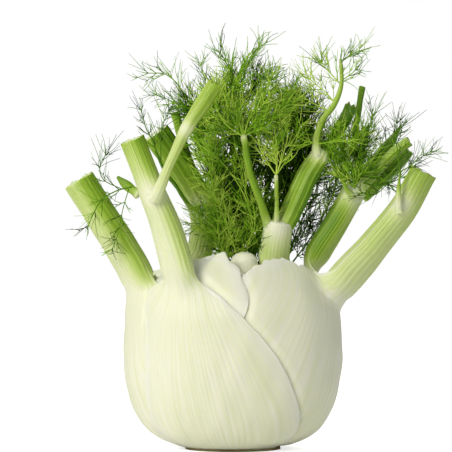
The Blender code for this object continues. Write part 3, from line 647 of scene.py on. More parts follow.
def on_bulb(turn, height, depth):
    """The point at this turn (degrees) and height, this far under the bulb's outline."""
    angle = np.radians(turn)
    x = (by_height(OUTLINE_CURVE, height, 1) - depth) * np.sin(angle)
    y = -(by_height(OUTLINE_CURVE, height, 2) - depth) * np.cos(angle)
    return np.stack([x, y, height + 0.0 * x], axis=-1)


def on_core(turn, height):
    """The point at this turn and height, just outside the room kept in the middle."""
    angle = np.radians(turn)
    x = by_height(CORE_CURVE, height, 3) + (by_height(CORE_CURVE, height, 1) + GAP) * np.sin(angle)
    y = by_height(CORE_CURVE, height, 4) - (by_height(CORE_CURVE, height, 2) + GAP) * np.cos(angle)
    return np.stack([x, y, height + 0.0 * x], axis=-1)


def flat(turn, height):
    """The bulb's surface unrolled to a sheet, in millimetres."""
    return np.stack([np.radians(turn) * SWEEP_RADIUS, height], axis=-1)


def distance_to(line, points):
    """How far each point is from a line of straight pieces."""
    nearest = np.full(points.shape[:-1], np.inf)
    for start, end in zip(line[:-1], line[1:]):
        step = end - start
        share = np.clip(((points - start) @ step) / (step @ step), 0.0, 1.0)
        nearest = np.minimum(nearest, np.linalg.norm(points - start - share[..., None] * step, axis=-1))
    return nearest


def inside(outline, points):
    """Whether each point is inside a closed outline."""
    found = np.zeros(points.shape[:-1], bool)
    for start, end in zip(outline, np.roll(outline, -1, axis=0)):
        crosses = (start[1] > points[..., 1]) != (end[1] > points[..., 1])
        rise = end[1] - start[1]
        reach = start[0] + (points[..., 1] - start[1]) * (end[0] - start[0]) / (rise if rise else 1.0)
        found ^= crosses & (points[..., 0] < reach)
    return found


def edge_distance(leaf, turn, height):
    """Each point's distance to the leaf's nearer free edge, above 0 under the leaf and below 0 beside it."""
    share = np.linspace(0, 1, LINE_STEPS)
    first = along(leaf["first"], share)
    last = along(leaf["last"], share)
    best = np.full(np.shape(turn), -np.inf)
    for shift in (-360.0, 0.0, 360.0):
        points = flat(turn + shift, height)
        first_line = flat(first[:, 0], first[:, 1])
        last_line = flat(last[:, 0], last[:, 1])
        distance = np.minimum(distance_to(first_line, points), distance_to(last_line, points))
        under = inside(np.vstack([first_line, last_line[::-1]]), points)
        best = np.maximum(best, np.where(under, distance, -distance))
    return best


def thickness(leaf, turn, height, distance):
    """A leaf base is fleshy in its middle and thins to its free edges."""
    heights, shares = zip(*THICKNESS_BY_HEIGHT)
    full = leaf["thick"] * np.interp(height, heights, shares)
    edge = np.minimum(EDGE_THICKNESS, 0.8 * full)
    return edge + (full - edge) * smooth_step(distance / EDGE_ZONE)


def cover_depths(covers, turn, height):
    """How far each leaf base that lies over this place pushes it in."""
    depths = []
    for cover in covers:
        distance = edge_distance(cover, turn, height)
        own = thickness(cover, turn, height, np.maximum(distance, 0.0)) + GAP
        depths.append(own * smooth_step(1.0 + np.minimum(distance, 0.0) / TUCK_ZONE))
    return depths


def pressed_in(points, cover, room):
    """How far each point moves towards the bulb's middle to leave this room round an outer leaf's stalk."""
    share = np.linspace(STALK_ROOT_SHARE, STALK_TOP_SHARE, LINE_STEPS)
    line = along(cover["route"], share)
    across = (np.array(cover["width"]) + np.array(cover["depth"])) / 2
    radius = along(across[:, None], share)[:, 0] / 2 + STALK_GAP
    moved = points.copy()
    for _ in range(PRESS_PASSES):
        reach = np.linalg.norm(moved[..., None, :] - line, axis=-1)
        short = np.maximum((radius + room[..., None] - reach).max(axis=-1), 0.0)
        inward = unit(moved * (1.0, 1.0, 0.0))
        moved = moved - inward * short[..., None]
    return moved - points


def waves(seed, places, size):
    """Smooth uneven numbers between about -1 and 1 over places, with bumps about this size."""
    rng = np.random.default_rng(seed)
    total = 0.0
    for _ in range(WAVE_COUNT):
        direction = unit(rng.normal(size=places.shape[-1]))
        pace = 2 * math.pi / (size * rng.uniform(0.7, 1.5))
        total = total + np.sin(places @ direction * pace + rng.uniform(0, 6.28))
    return total / math.sqrt(WAVE_COUNT * 2.0)


def grain_lines(seed, share, count):
    """Uneven ribs across a surface: 1 on each rib's crest and 0 in the furrow beside it."""
    rng = np.random.default_rng(seed)
    drift = 0.0
    for times in (2, 3, 5, 8):
        size = rng.uniform(0.3, 0.8) / times
        drift = drift + size * np.sin(2 * math.pi * times * share + rng.uniform(0, 6.28))
    return 0.5 + 0.5 * np.cos(2 * math.pi * (share * count + drift * 0.6))


def vein_fan(leaf, points):
    """Where each point of a leaf base lies between its outer veins, which fan out from the stalk's foot."""
    foot = np.array(leaf["route"][1])
    foot_turn = math.degrees(math.atan2(foot[0], -foot[1]))
    turn = np.degrees(np.arctan2(points[..., 0], -points[..., 1]))
    sideways = np.radians((turn - foot_turn + 180) % 360 - 180) * SWEEP_RADIUS
    below = FAN_TOP - points[..., 2]
    reach = np.hypot(np.maximum(below, 0.0), 0.35 * sideways)
    half_width = FAN_ROOT + FAN_GROWTH * reach**0.8
    above = 0.004 * np.maximum(-below, 0.0) * np.sign(sideways)
    return 0.5 + 0.5 * np.arctan2(sideways, half_width) / 1.2 + above


def stalk_sheets(leaf, progress, start):
    """The front and the back of a leaf's stalk as grids of points, which starts inside the base."""
    route = leaf["route"]
    steps = len(route) - 1
    below_foot = (np.minimum(progress, 1.0) - start) / (1.0 - start)
    above_foot = np.maximum(progress - 1.0, 0.0) * (steps - 1)
    place = np.clip((below_foot + above_foot) / steps, 0, 1)
    centre = along(route, place)
    ahead = along(route, np.minimum(place + TANGENT_STEP, 1))
    direction = unit(ahead - along(route, np.maximum(place - TANGENT_STEP, 0)))
    facing = math.radians(leaf["facing"])
    outward = np.array([math.sin(facing), -math.cos(facing), 0.0])
    out = unit(outward - (direction @ outward)[:, None] * direction)
    side = np.cross(direction, out)
    width, depth = (along(np.array(leaf[size])[:, None], place) for size in ("width", "depth"))
    angle = math.pi * (1.0 - (np.arange(LEAF_COLUMNS + 1) + 0.5) / (LEAF_COLUMNS + 1))
    sideways = centre[:, None] + np.cos(angle)[None, :, None] * (side * width / 2)[:, None]
    outwards = np.sin(angle)[None, :, None] * (out * depth / 2)[:, None]
    return sideways + outwards, sideways - outwards


def crinkled(place, across, seed):
    """Turns and heights whose free edges wander a little, and more so round the torn rim."""
    near_edge = np.abs(2 * across - 1) ** 8
    rim = smooth_step((place[..., 1] - RIM_HEIGHT) / RIM_ZONE)
    side = EDGES_APART * np.sign(across - 0.5)[None, :, None] + 0.0 * place[..., :1]
    run = np.concatenate([side, place], axis=-1)
    turn = (EDGE_WANDER + RIM_WANDER * rim) * near_edge * waves(seed + 50, run, 8.0)
    height = RIM_CRINKLE * rim * near_edge * waves(seed + 60, run, 7.0)
    return place + np.stack([turn, height], axis=-1)


def extended(grid, count):
    """A grid with its last row repeated this many times."""
    return np.concatenate([grid, np.repeat(grid[-1:], count, axis=0)])


def leaf_sheets(name):
    """A leaf's outer and inner surface as grids of points, and how far along the grids lie.

    Progress is each row's: 1 is the foot of the stalk and 2 its end. Across is each column's, from 0 to 1.
    The blend is each point's share of the stalk's shape.
    """
    leaf = LEAVES[name]
    names = list(LEAVES)
    covers = [LEAVES[other] for other in names[: names.index(name)]]
    innermost = name == names[-1]
    row = np.linspace(0, 1, LEAF_BASE_ROWS + 1)
    across = np.linspace(0, 1, LEAF_COLUMNS + 1)
    progress = np.concatenate([row, np.linspace(1, 2, LEAF_STALK_ROWS + 1)[1:]])
    lines = [along(leaf[line], row)[:, None, :] for line in ("first", "middle", "last")]
    weights = ((1 - across) * (1 - 2 * across), 4 * across * (1 - across), across * (2 * across - 1))
    place = sum(weight[None, :, None] * line for weight, line in zip(weights, lines))
    place = crinkled(place, across, LEAF_LOOKS[name]["seed"])
    turn, height = place[..., 0], place[..., 1]
    depths = cover_depths(covers, turn, height)
    depth = sum(depths, np.zeros(turn.shape))
    outer = on_bulb(turn, height, depth)
    if innermost:
        inner = on_core(turn, height)
    else:
        distance = np.maximum(edge_distance(leaf, turn, height), 0.0)
        inner = on_bulb(turn, height, depth + thickness(leaf, turn, height, distance))
    outer, inner, *depths = (extended(grid, LEAF_STALK_ROWS) for grid in (outer, inner, *depths))
    middle_start, edge_start = (1.0 - count / (len(leaf["first"]) - 1) for count in leaf["blend"])
    front, back = stalk_sheets(leaf, progress, middle_start)
    blend_start = middle_start + (edge_start - middle_start) * np.abs(2 * across - 1) ** EDGE_LAG
    blend = smooth_step((progress[:, None] - blend_start) / (BLEND_END - blend_start))[..., None]
    blend = np.where(progress[:, None, None] > middle_start, blend, 0.0)
    outer = (1 - blend) * outer + blend * front
    inner = (1 - blend) * inner + blend * back
    for index, cover in enumerate(covers):
        push = pressed_in(outer, cover, sum(depths[index + 1 :], np.zeros(outer.shape[:2])))
        outer = outer + push
        inner = inner if innermost else inner + push
    return outer, inner, progress, across, blend


def sheet_normals(grid, outward):
    """The directions a grid of points faces, turned to agree with a rough outward direction."""
    normal = unit(np.cross(np.gradient(grid, axis=1), np.gradient(grid, axis=0)))
    return normal if (normal * outward).sum(axis=-1).mean() > 0 else -normal


def joint_glow(points):
    """How near each point is to a swollen joint: 1 at its middle and 0 away from it."""
    near = np.zeros(points.shape[:-1])
    for centre, radius in JOINTS:
        away = np.linalg.norm(points - np.array(centre), axis=-1)
        near = np.maximum(near, np.exp(-((away / radius) ** 2)))
    return near


def circle_of(bm, count):
    """A circle of vertices, listed in their order round it."""
    bmesh.ops.create_circle(bm, cap_ends=False, radius=1.0, segments=count)
    bm.verts.ensure_lookup_table()
    ring = [bm.verts[0]]
    while len(ring) < count:
        beside = [edge.other_vert(ring[-1]) for edge in ring[-1].link_edges]
        ring.append(next(vert for vert in beside if len(ring) < 2 or vert is not ring[-2]))
    return ring


def extruded_rows(bm, ring, count, cut_from):
    """The ring extruded into this many rows. Faces past the row where the cut starts are the cut's."""
    rows = [ring]
    edges = list(bm.edges)
    for index in range(1, count):
        made = bmesh.ops.extrude_edge_only(bm, edges=edges)["geom"]
        fresh = {item for item in made if isinstance(item, bmesh.types.BMVert)}
        edges = [item for item in made if isinstance(item, bmesh.types.BMEdge)]
        for item in made:
            if isinstance(item, bmesh.types.BMFace):
                item.material_index = int(index > cut_from)
        beside = [[edge.other_vert(vert) for edge in vert.link_edges] for vert in rows[-1]]
        rows.append([next(vert for vert in verts if vert in fresh) for verts in beside])
    return rows


def close_strip(bm, ring):
    """Closes a leaf's thin curved foot with a strip from its outer to its inner line."""
    side = len(ring) // 2 - 1
    runs = (ring[:side], ring[side + 1 : -1])
    edges = [bm.edges.get(pair) for run in runs for pair in zip(run[:-1], run[1:])]
    bmesh.ops.bridge_loops(bm, edges=edges)
    bmesh.ops.holes_fill(bm, edges=bm.edges, sides=3)


def rings_to_piece(name, rings, caps, numbers, cut_skin=None, strip=False):
    """A closed piece through rings of points and the caps that end it.

    Numbers are attributes, one value for each point of each ring. The caps go on with the last ring's
    where they have none of their own, and a cut skin covers them.
    """
    cut_from = len(rings) if cut_skin else len(rings) + len(caps)
    rings = [*rings, *caps]
    bm = bmesh.new()
    rows = extruded_rows(bm, circle_of(bm, len(rings[0])), len(rings), cut_from)
    for row, places in zip(rows, rings):
        for vert, place in zip(row, places):
            vert.co = Vector(place) * MM
    bm.verts.index_update()
    order = np.array([[vert.index for vert in row] for row in rows])
    for face in bmesh.ops.contextual_create(bm, geom=rows[-1])["faces"]:
        face.material_index = 1 if cut_skin else 0
    if strip:
        close_strip(bm, rows[0])
    else:
        bmesh.ops.contextual_create(bm, geom=rows[0])
    bmesh.ops.recalc_face_normals(bm, faces=bm.faces)
    mesh = bpy.data.meshes.new(name)
    bm.to_mesh(mesh)
    bm.free()
    for key, values in numbers.items():
        vector = values.ndim == 3
        layer = mesh.attributes.new(key, "FLOAT_VECTOR" if vector else "FLOAT", "POINT")
        ordered = np.zeros((len(mesh.vertices), *values.shape[2:]), np.float32)
        ordered[order] = extended(values, len(rings) - len(values))
        layer.data.foreach_set("vector" if vector else "value", ordered.ravel())
    mesh.shade_smooth()
    mesh.set_sharp_from_angle(angle=math.radians(CORNER_ANGLE))
    mesh.materials.append(material(fennel_leaf_skin_grown))
    if cut_skin:
        mesh.materials.append(material(cut_skin))
    return placed(name, mesh)


def cut_end(rings, rise, seed, edge, flesh, profile):
    """The rings across a cut, whose edge it makes uneven. Edge and flesh are a roughness and a bump size."""
    centre = rings[-1].mean(axis=0)
    rings[-1] += rise * (edge[0] * waves(seed, rings[-1], edge[1]))[:, None]
    caps = []
    for size, sink in profile:
        ring = centre + (rings[-1] - centre) * size - rise * sink
        caps.append(ring + rise * (flesh[0] * waves(seed + 1, ring, flesh[1]))[:, None])
    return caps


def round_end(rings, rise, profile, radius):
    """The rings over a rounded end of this radius."""
    centre = rings[-1].mean(axis=0)
    return [centre + (rings[-1] - centre) * size + rise * lift * radius for size, lift in profile]


def grain_place(around, up):
    """Where the skin's streaks lie: a place round a piece and a length up it, in metres."""
    around, up = np.broadcast_arrays(around, up)
    return np.stack([around, up, np.zeros(up.shape)], axis=-1)


def round_stem(sides):
    """A place for each side of a stem, out and back again so that the streaks meet."""
    return np.abs(np.linspace(-1, 1, sides, endpoint=False))[None, :] * STEM_GIRTH


def placed(name, mesh):
    """The mesh as a piece named for the node it stands for."""
    obj = bpy.data.objects.new(name + "_look", mesh)
    bpy.context.scene.collection.objects.link(obj)
    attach(obj, "root")
    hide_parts(name)
    return obj


def stalk_share(progress):
    """How much each row of a leaf is stalk: 0 on its base and 1 on its stalk."""
    return smooth_step((progress - 0.93) / 0.22)[:, None]


def ribbed(sheets, fan, look, looks):
    """A leaf's outer and inner sheet with veins, ridges, soft dents and the swollen joint standing out."""
    outer, inner, progress, across, blend = sheets
    seed = look["seed"]
    spine = ((outer + inner) / 2).mean(axis=1, keepdims=True)
    stalk = stalk_share(progress)
    near_rim = smooth_step(np.minimum(across, 1 - across) / 0.04)[None, :]
    swell = joint_glow(outer)
    veins = grain_lines(seed, fan, BASE_VEINS) * (0.6 + 0.5 * waves(seed + 5, outer, VEIN_PATCH))
    ridges = grain_lines(seed + 1, across, STALK_RIDGES)[None, :] * look.get("ridged", 1.0)
    relief = looks.vein_depth / MM * veins * (1 - stalk)
    relief = relief + looks.ridge_depth / MM * ridges * stalk * (1 - 0.85 * swell)
    relief = relief + DENT_DEPTH * waves(seed + 2, outer, DENT_SIZE) * (1 - 0.6 * stalk)
    relief = relief * near_rim * smooth_step(progress / 0.06)[:, None]
    relief = relief + LEAF_JOINT_SWELL * swell * (progress > 1.0)[:, None]
    outward = np.where(blend > 0.7, outer - spine, unit(outer * (1.0, 1.0, 0.0)))
    back_ridges = grain_lines(seed + 3, across, STALK_RIDGES)[None, :]
    back_relief = looks.ridge_depth / MM * back_ridges * stalk * near_rim
    outer = outer + sheet_normals(outer, outward) * relief[..., None]
    inner = inner + sheet_normals(inner, inner - spine) * back_relief[..., None]
    return outer, inner


def leaf_green(look, progress, across):
    """How green each point of a leaf is, by its row and its place across: 0 is the cream base."""
    foot = smooth_step((progress - 0.84) / 0.3)[:, None]
    up = np.clip(progress - 1.0, 0.0, 1.0)[:, None]
    # The extra green on an edge is partly the stalk's own colour and partly painted shade on the side away
    # from the key light.
    left = look["left"] * smooth_step((0.42 - across) / 0.3)
    right = look["right"] * smooth_step((across - 0.58) / 0.3)
    return foot * (np.interp(up, (0, 0.5, 1), look["green"]) + left + right)


def make_leaf(name, looks):
    """One leaf: its ribbed base, its stalk and the cut or the joint that the stalk ends in."""
    leaf = LEAVES[name]
    look = LEAF_LOOKS[name]
    seed = look["seed"]
    sheets = leaf_sheets(name)
    outer, inner, progress, across, _ = sheets
    spine = ((outer + inner) / 2).mean(axis=1)
    outer, inner = ribbed(sheets, vein_fan(leaf, outer), look, looks)
    first_edge = (outer[:, 0] + inner[:, 0]) / 2 + unit(outer[:, 0] - outer[:, 1]) * EDGE_ROUNDING
    last_edge = (outer[:, -1] + inner[:, -1]) / 2 + unit(outer[:, -1] - outer[:, -2]) * EDGE_ROUNDING
    rings = np.concatenate([outer, last_edge[:, None], inner[:, ::-1], first_edge[:, None]], axis=1)
    across = np.concatenate([across, [1.0], across[::-1], [0.0]])
    up = np.concatenate([[0.0], np.cumsum(np.linalg.norm(np.diff(spine, axis=0), axis=1))])[:, None] * MM
    green = leaf_green(look, progress, across)
    numbers = {
        "green": green,
        "grain": grain_place(across * LEAF_GIRTH + seed, up),
        "fan": grain_place(vein_fan(leaf, rings) * LEAF_GIRTH + seed, up),
        "stalk": stalk_share(progress) + 0.0 * green,
        "rim": 1 - smooth_step(np.minimum(across, 1 - across) / 0.05) + 0.0 * green,
        "joint": joint_glow(rings),
    }
    rise = unit(rings[-1].mean(axis=0) - rings[-3].mean(axis=0))
    cut = look["end"] == "cut"
    caps = cut_end(rings, rise, seed + 7, **LEAF_CUT) if cut else round_end(rings, rise, JOINT_DOME, 1.0)
    key, cap = ("green", CUT_GREEN * green[-1]) if cut else ("joint", np.ones(len(across)))
    numbers[key] = np.concatenate([numbers[key], [cap] * len(caps)])
    cut_skin = fennel_stalk_flesh_sliced if cut else None
    rings_to_piece(name, rings, caps, numbers, cut_skin, strip=True)


def tube_rings(route, radii, sides, ribs, rows):
    """Rings of points along a smooth route, with ribs, and each ring's share of the route and direction."""
    share = np.linspace(0, 1, rows)
    centre = along(route, share)
    radius = along(np.array(radii)[:, None], share)
    direction = unit(np.gradient(centre, axis=0))
    angle = 2 * math.pi * np.arange(sides) / sides
    ridge = 1.0 + RIB_DEPTH * np.cos(ribs * angle + 0.6 * np.sin(2 * angle))
    out = np.array([0.0, -1.0, 0.0])
    rings = []
    for place, heading, size in zip(centre, direction, radius[:, 0]):
        out = unit(out - (out @ heading) * heading)
        side = np.cross(out, heading)
        around = np.cos(angle)[:, None] * side + np.sin(angle)[:, None] * out
        rings.append(place + size * ridge[:, None] * around)
    return np.array(rings), share, direction


def rooted(stem):
    """A stem's route with a root inside its joint, and its radii with the foot's."""
    route = np.array(stem["route"], float)
    centre, radius = min(JOINTS, key=lambda joint: math.dist(joint[0], route[0]))
    near = math.dist(centre, route[0]) < 1.6 * radius
    lean = STEM_LEAN * (np.array(centre) - route[0]) if near else 0.0
    root = route[0] + unit(route[0] - route[1]) * STEM_ROOT + lean
    flare = THIN_FLARE if max(stem["radii"]) < THICK_STEM else THICK_FLARE
    return np.vstack([root, route]), (stem["radii"][0] * flare, *stem["radii"])


def make_stem(name):
    """A side stem: a ribbed tube that leaves a joint and ends in a cut, a point, a ragged tear or a joint."""
    look = STEM_LOOKS[name]
    end = look["end"]
    seed = sum(map(ord, name))
    route, radii = rooted(STEMS[name])
    if end == "point":
        radii = radii[:-1] + (radii[-1] * POINT_SHARE,)
    sides, rows = (40, 60) if max(radii) > THICK_STEM else (24, 34)
    rings, share, direction = tube_rings(route, radii, sides, look["ribs"], rows)
    outward = unit(rings - rings.mean(axis=1, keepdims=True))
    swell = joint_glow(rings)
    dents = STEM_DENT_DEPTH * waves(seed, rings, STEM_DENT_SIZE)
    rings = rings + outward * (STEM_JOINT_SWELL * swell + dents)[..., None]
    # Painted shade: 0.12 times the x part of the outward direction paints the stem's right side, away from
    # the key light, greener and its left side paler.
    green = np.interp(share, (0, 1), look["green"])[:, None] + 0.12 * outward[..., 0]
    reach = np.linalg.norm(route[-1] - route[0])
    joint = np.maximum(swell, 0.8 * np.exp(-((share * reach / 3.0) ** 2))[:, None])
    if end == "joint":
        joint = np.maximum(joint, 0.8 * np.exp(-(((1 - share) * reach / 1.6) ** 2))[:, None])
    length = np.linalg.norm(np.diff(route, axis=0), axis=1).sum()
    grain = grain_place(round_stem(sides) + seed, share[:, None] * length * MM)
    numbers = {"green": green, "grain": grain, "stalk": np.ones(green.shape), "joint": joint}
    cut_skin = {"cut": fennel_stalk_flesh_sliced, "ragged": fennel_stalk_flesh_torn}.get(end)
    if cut_skin:
        caps = cut_end(rings, direction[-1], seed + 3, **(STEM_TEAR if end == "ragged" else STEM_CUT))
    else:
        caps = round_end(rings, direction[-1], STEM_DOME, radii[-1])
    rings_to_piece(name, rings, caps, numbers, cut_skin)


def make_heart_bud():
    """The youngest leaf, still closed: a slim oval body with two soft lobes at its tip."""
    around = 2 * math.pi * np.arange(BUD_SIDES) / BUD_SIDES
    rings = []
    for height, share in zip(BUD_HEIGHTS, BUD_SHARES):
        size = share * (1.0 + 0.06 * np.cos(2 * around + 0.8) * smooth_step((height - 70) / 15))
        x = by_height(CORE_CURVE, height, 3) + size * by_height(CORE_CURVE, height, 1) * np.cos(around)
        y = by_height(CORE_CURVE, height, 4) + size * by_height(CORE_CURVE, height, 2) * np.sin(around)
        rings.append(np.stack([x, y, height + 0.0 * x], axis=-1).ravel())
    fine = along(rings, np.linspace(0, 1, BUD_ROWS)).reshape(BUD_ROWS, BUD_SIDES, 3)
    none = np.zeros(fine.shape[:2])
    grain = grain_place(round_stem(BUD_SIDES), fine[..., 2] * MM)
    numbers = {"green": none, "grain": grain, "stalk": none + 1.0, "rim": none + 1.0}
    rings_to_piece("heart_bud", fine, [], numbers)


def make_stem_base():
    """The short stem that every leaf grows from, spun from its profile and cut flat below."""
    bm = bmesh.new()
    profile = [bm.verts.new((radius * MM, 0.0, height * MM)) for radius, height in STEM_BASE_PROFILE]
    for pair in zip(profile[:-1], profile[1:]):
        bm.edges.new(pair)
    bmesh.ops.bevel(
        bm, geom=profile[1:-1], affect="VERTICES", offset=0.4 * MM, segments=3, profile=0.5, material=-1
    )
    outline = list(bm.verts) + list(bm.edges)
    bmesh.ops.spin(
        bm, geom=outline, cent=(0, 0, 0), axis=(0, 0, 1), angle=2 * math.pi, steps=96, use_merge=True
    )
    bmesh.ops.remove_doubles(bm, verts=bm.verts, dist=0.01 * MM)
    rim = [edge for edge in bm.edges if edge.is_boundary]
    bottom = bmesh.ops.edgeloop_fill(bm, edges=rim)["faces"]
    for _ in range(ROOT_RINGS):
        bmesh.ops.inset_region(bm, faces=bottom, thickness=STEM_INSET * MM, use_even_offset=True)
    bmesh.ops.scale(bm, vec=(1.0, STEM_BASE_DEPTH_SHARE, 1.0), verts=bm.verts)
    bmesh.ops.recalc_face_normals(bm, faces=bm.faces)
    mesh = bpy.data.meshes.new("stem_base")
    bm.to_mesh(mesh)
    bm.free()
    mesh.shade_smooth()
    mesh.set_sharp_from_angle(angle=math.radians(CORNER_ANGLE))
    mesh.materials.append(material(fennel_root_flesh_cut))
    placed("stem_base", mesh)


def curled(start, heading, length, bend, steps):
    """Points from a start, ahead by a length and bent away as they go."""
    share = np.linspace(0, 1, steps + 1)[:, None]
    return start + heading * length * share + bend * length * share**2


def place_on(line, share):
    """The point and the heading at a share of a line's length."""
    place = share * (len(line) - 1)
    low = min(int(place), len(line) - 2)
    return line[low] + (line[low + 1] - line[low]) * (place - low), unit(line[low + 1] - line[low])


class Threads:
    """The splines of one frond, kept until they're made into a mesh, with a tone for each."""

    def __init__(self, seed, levels, width):
        """Levels is how often its ribs fork, and width makes every thread thicker or thinner."""
        self.random = np.random.default_rng(seed)
        self.levels = levels
        self.width = width
        self.lines = []

    def add(self, points, thick, thin, tone):
        """Keeps a thread through these points, with its radius at its foot and at its tip."""
        self.lines.append((points, self.width * np.linspace(thick, thin, len(points)), tone))

    def fork(self, line, reach, level, tone):
        """Pairs of threads that leave a line at a sharp angle, forking again until they're single threads."""
        rng = self.random
        for share in FORKS[level]:
            start, heading = place_on(line, share)
            across = unit(np.cross(heading, rng.normal(size=3)))
            for way in (-1, 1):
                angle = math.radians(rng.uniform(*FORK_ANGLES))
                lean = heading * math.cos(angle) + way * across * math.sin(angle)
                length = reach * rng.uniform(0.6, 1.3) * (1.15 - 0.35 * share)
                bend = heading * rng.uniform(-0.05, 0.2) + rng.normal(0, THREAD_BEND, 3) + UPWARD
                thread = curled(start, lean, length, bend, 3 if level == 0 else 4)
                own_tone = tone + rng.normal(0, 0.16)
                if level == 0:
                    self.add(thread, THREAD_RADIUS * rng.uniform(0.8, 1.05), THREAD_RADIUS * 0.5, own_tone)
                else:
                    self.add(thread, THREAD_RADIUS * 1.1, THREAD_RADIUS * 0.6, own_tone)
                    self.fork(thread, reach * 0.95, level - 1, own_tone)

    def feather(self, route, spread, pairs, bare, tone, thick):
        """A midrib with pairs of side ribs, which fork into threads."""
        rng = self.random
        midrib = along(np.array(route, float), np.linspace(0, 1, 16))
        self.add(midrib, thick, max(thick * 0.45, THREAD_RADIUS * 1.2), tone + 0.1)
        levels = self.levels if thick > WISP_RADIUS else 1
        for share in np.linspace(bare, 0.97, pairs):
            start, heading = place_on(midrib, share)
            across = unit(np.cross(heading, (0.0, 1.0, 0.0)))
            out = np.cross(across, heading)
            for way in (-1, 1):
                turn = rng.normal(0, 0.8)
                side = way * across * math.cos(turn) + out * math.sin(turn)
                lean = unit(heading * rng.uniform(0.8, 1.3) + side)
                length = spread * rng.uniform(0.4, 1.05) * (1.05 - 0.5 * share)
                bend = heading * rng.uniform(0.0, 0.4) + rng.normal(0, RIB_BEND, 3) + UPWARD
                rib = curled(start, lean, length, bend, 5)
                own_tone = tone + rng.normal(0, 0.2)
                self.add(rib, THREAD_RADIUS * 1.4, THREAD_RADIUS * 0.8, own_tone)
                self.fork(rib, rng.uniform(*RIB_REACH), levels - 1, own_tone)
        self.fork(midrib[-5:], rng.uniform(*TIP_REACH), levels - 1, tone)

    def to_mesh(self, name):
        """All the threads as one mesh of thin four-sided tubes: a bevelled curve, closed at its ends."""
        curve = bpy.data.curves.new(name, "CURVE")
        curve.dimensions = "3D"
        curve.bevel_depth = MM
        curve.bevel_resolution = 0
        for points, radii, _ in self.lines:
            spline = curve.splines.new("POLY")
            spline.points.add(len(points) - 1)
            places = np.hstack([points * MM, np.ones((len(points), 1))])
            spline.points.foreach_set("co", places.ravel())
            spline.points.foreach_set("radius", radii)
        holder = bpy.data.objects.new(name + "_curve", curve)
        mesh = bpy.data.meshes.new_from_object(holder)
        bpy.data.objects.remove(holder)
        bpy.data.curves.remove(curve)
        tones = np.concatenate([np.full(len(points) * THREAD_SIDES, tone) for points, _, tone in self.lines])
        layer = mesh.attributes.new("tone", "FLOAT", "POINT")
        layer.data.foreach_set("value", np.clip(tones, 0.0, 1.0).astype(np.float32))
        bm = bmesh.new()
        bm.from_mesh(mesh)
        bmesh.ops.holes_fill(bm, edges=bm.edges, sides=THREAD_SIDES)
        bmesh.ops.recalc_face_normals(bm, faces=bm.faces)
        bm.to_mesh(mesh)
        bm.free()
        mesh.materials.clear()
        mesh.materials.append(material(fennel_leaf_thread_grown))
        mesh.shade_smooth()
        return mesh


def make_frond(name):
    """A feathery leaf, made of thousands of fine threads."""
    threads = Threads(sum(map(ord, name)), *FROND_STYLES.get(name, (2, 1.0)))
    for route, spread, pairs, bare, tone, thick in FRONDS[name]:
        threads.feather(route, spread, pairs, bare, tone, thick)
    placed(name, threads.to_mesh(name))


def add_node(tree, kind, links=(), **settings):
    """A node. Links are (input name, output socket), and a setting that isn't a property is an input."""
    node = tree.nodes.new(kind)
    for key, value in settings.items():
        if hasattr(node, key):
            setattr(node, key, value)
        else:
            node.inputs[key.replace("_", " ")].default_value = value
    for socket, source in links:
        tree.links.new(source, node.inputs[socket])
    return node


def material(build):
    """The material that a function builds and is named for, made once."""
    made = bpy.data.materials.get(build.__name__)
    if not made:
        made = bpy.data.materials.new(build.__name__)
        made.use_nodes = True
        build(made.node_tree, made.node_tree.nodes["Principled BSDF"])
    return made


def attribute(tree, name, output="Fac"):
    """A number or a place that a mesh keeps for each of its points."""
    return add_node(tree, "ShaderNodeAttribute", attribute_name=name).outputs[output]


def object_place(tree):
    """A point's place in metres from the object's origin."""
    return add_node(tree, "ShaderNodeTexCoord").outputs["Object"]


def noise(tree, place, size, detail):
    """Soft uneven numbers with bumps of this size."""
    return add_node(tree, "ShaderNodeTexNoise", [("Vector", place)], Scale=1 / size, Detail=detail).outputs[0]


def cells(tree, place, size):
    """How far a point is from the middle of its cell, in cells of this size."""
    return add_node(tree, "ShaderNodeTexVoronoi", [("Vector", place)], Scale=1 / size).outputs["Distance"]


def maths(tree, operation, *values):
    """A sum of numbers and sockets."""
    node = add_node(tree, "ShaderNodeMath", operation=operation)
    for socket, value in zip(node.inputs, values):
        if isinstance(value, (int, float)):
            socket.default_value = value
        else:
            tree.links.new(value, socket)
    return node.outputs[0]


def multiplied(tree, first, second, factor):
    """One colour darkened by another."""
    mix = add_node(tree, "ShaderNodeMix", data_type="RGBA", blend_type="MULTIPLY")
    mix.inputs[0].default_value = factor
    tree.links.new(first, mix.inputs[6])
    tree.links.new(second, mix.inputs[7])
    return mix.outputs[2]


def coat(tree, shader, height, strength, depth, links=(), **sockets):
    """Sets a shader's sockets and gives it a bump of this strength and depth."""
    bump = add_node(tree, "ShaderNodeBump", [("Height", height)], Strength=strength, Distance=depth)
    for name, source in (*links, ("Normal", bump.outputs[0])):
        tree.links.new(source, shader.inputs[name])
    for name, value in sockets.items():
        shader.inputs[name.replace("_", " ")].default_value = value


def colour_ramp(tree, factor, stops):
    """A colour ramp over a factor. Stops are (place, hex colour)."""
    ramp = add_node(tree, "ShaderNodeValToRGB", [("Fac", factor)])
    points = ramp.color_ramp.elements
    while len(points) < len(stops):
        points.new(0.5)
    for point, (place, colour) in zip(points, stops):
        point.position = place
        point.color = (*linear(colour), 1.0)
    return ramp.outputs["Color"]


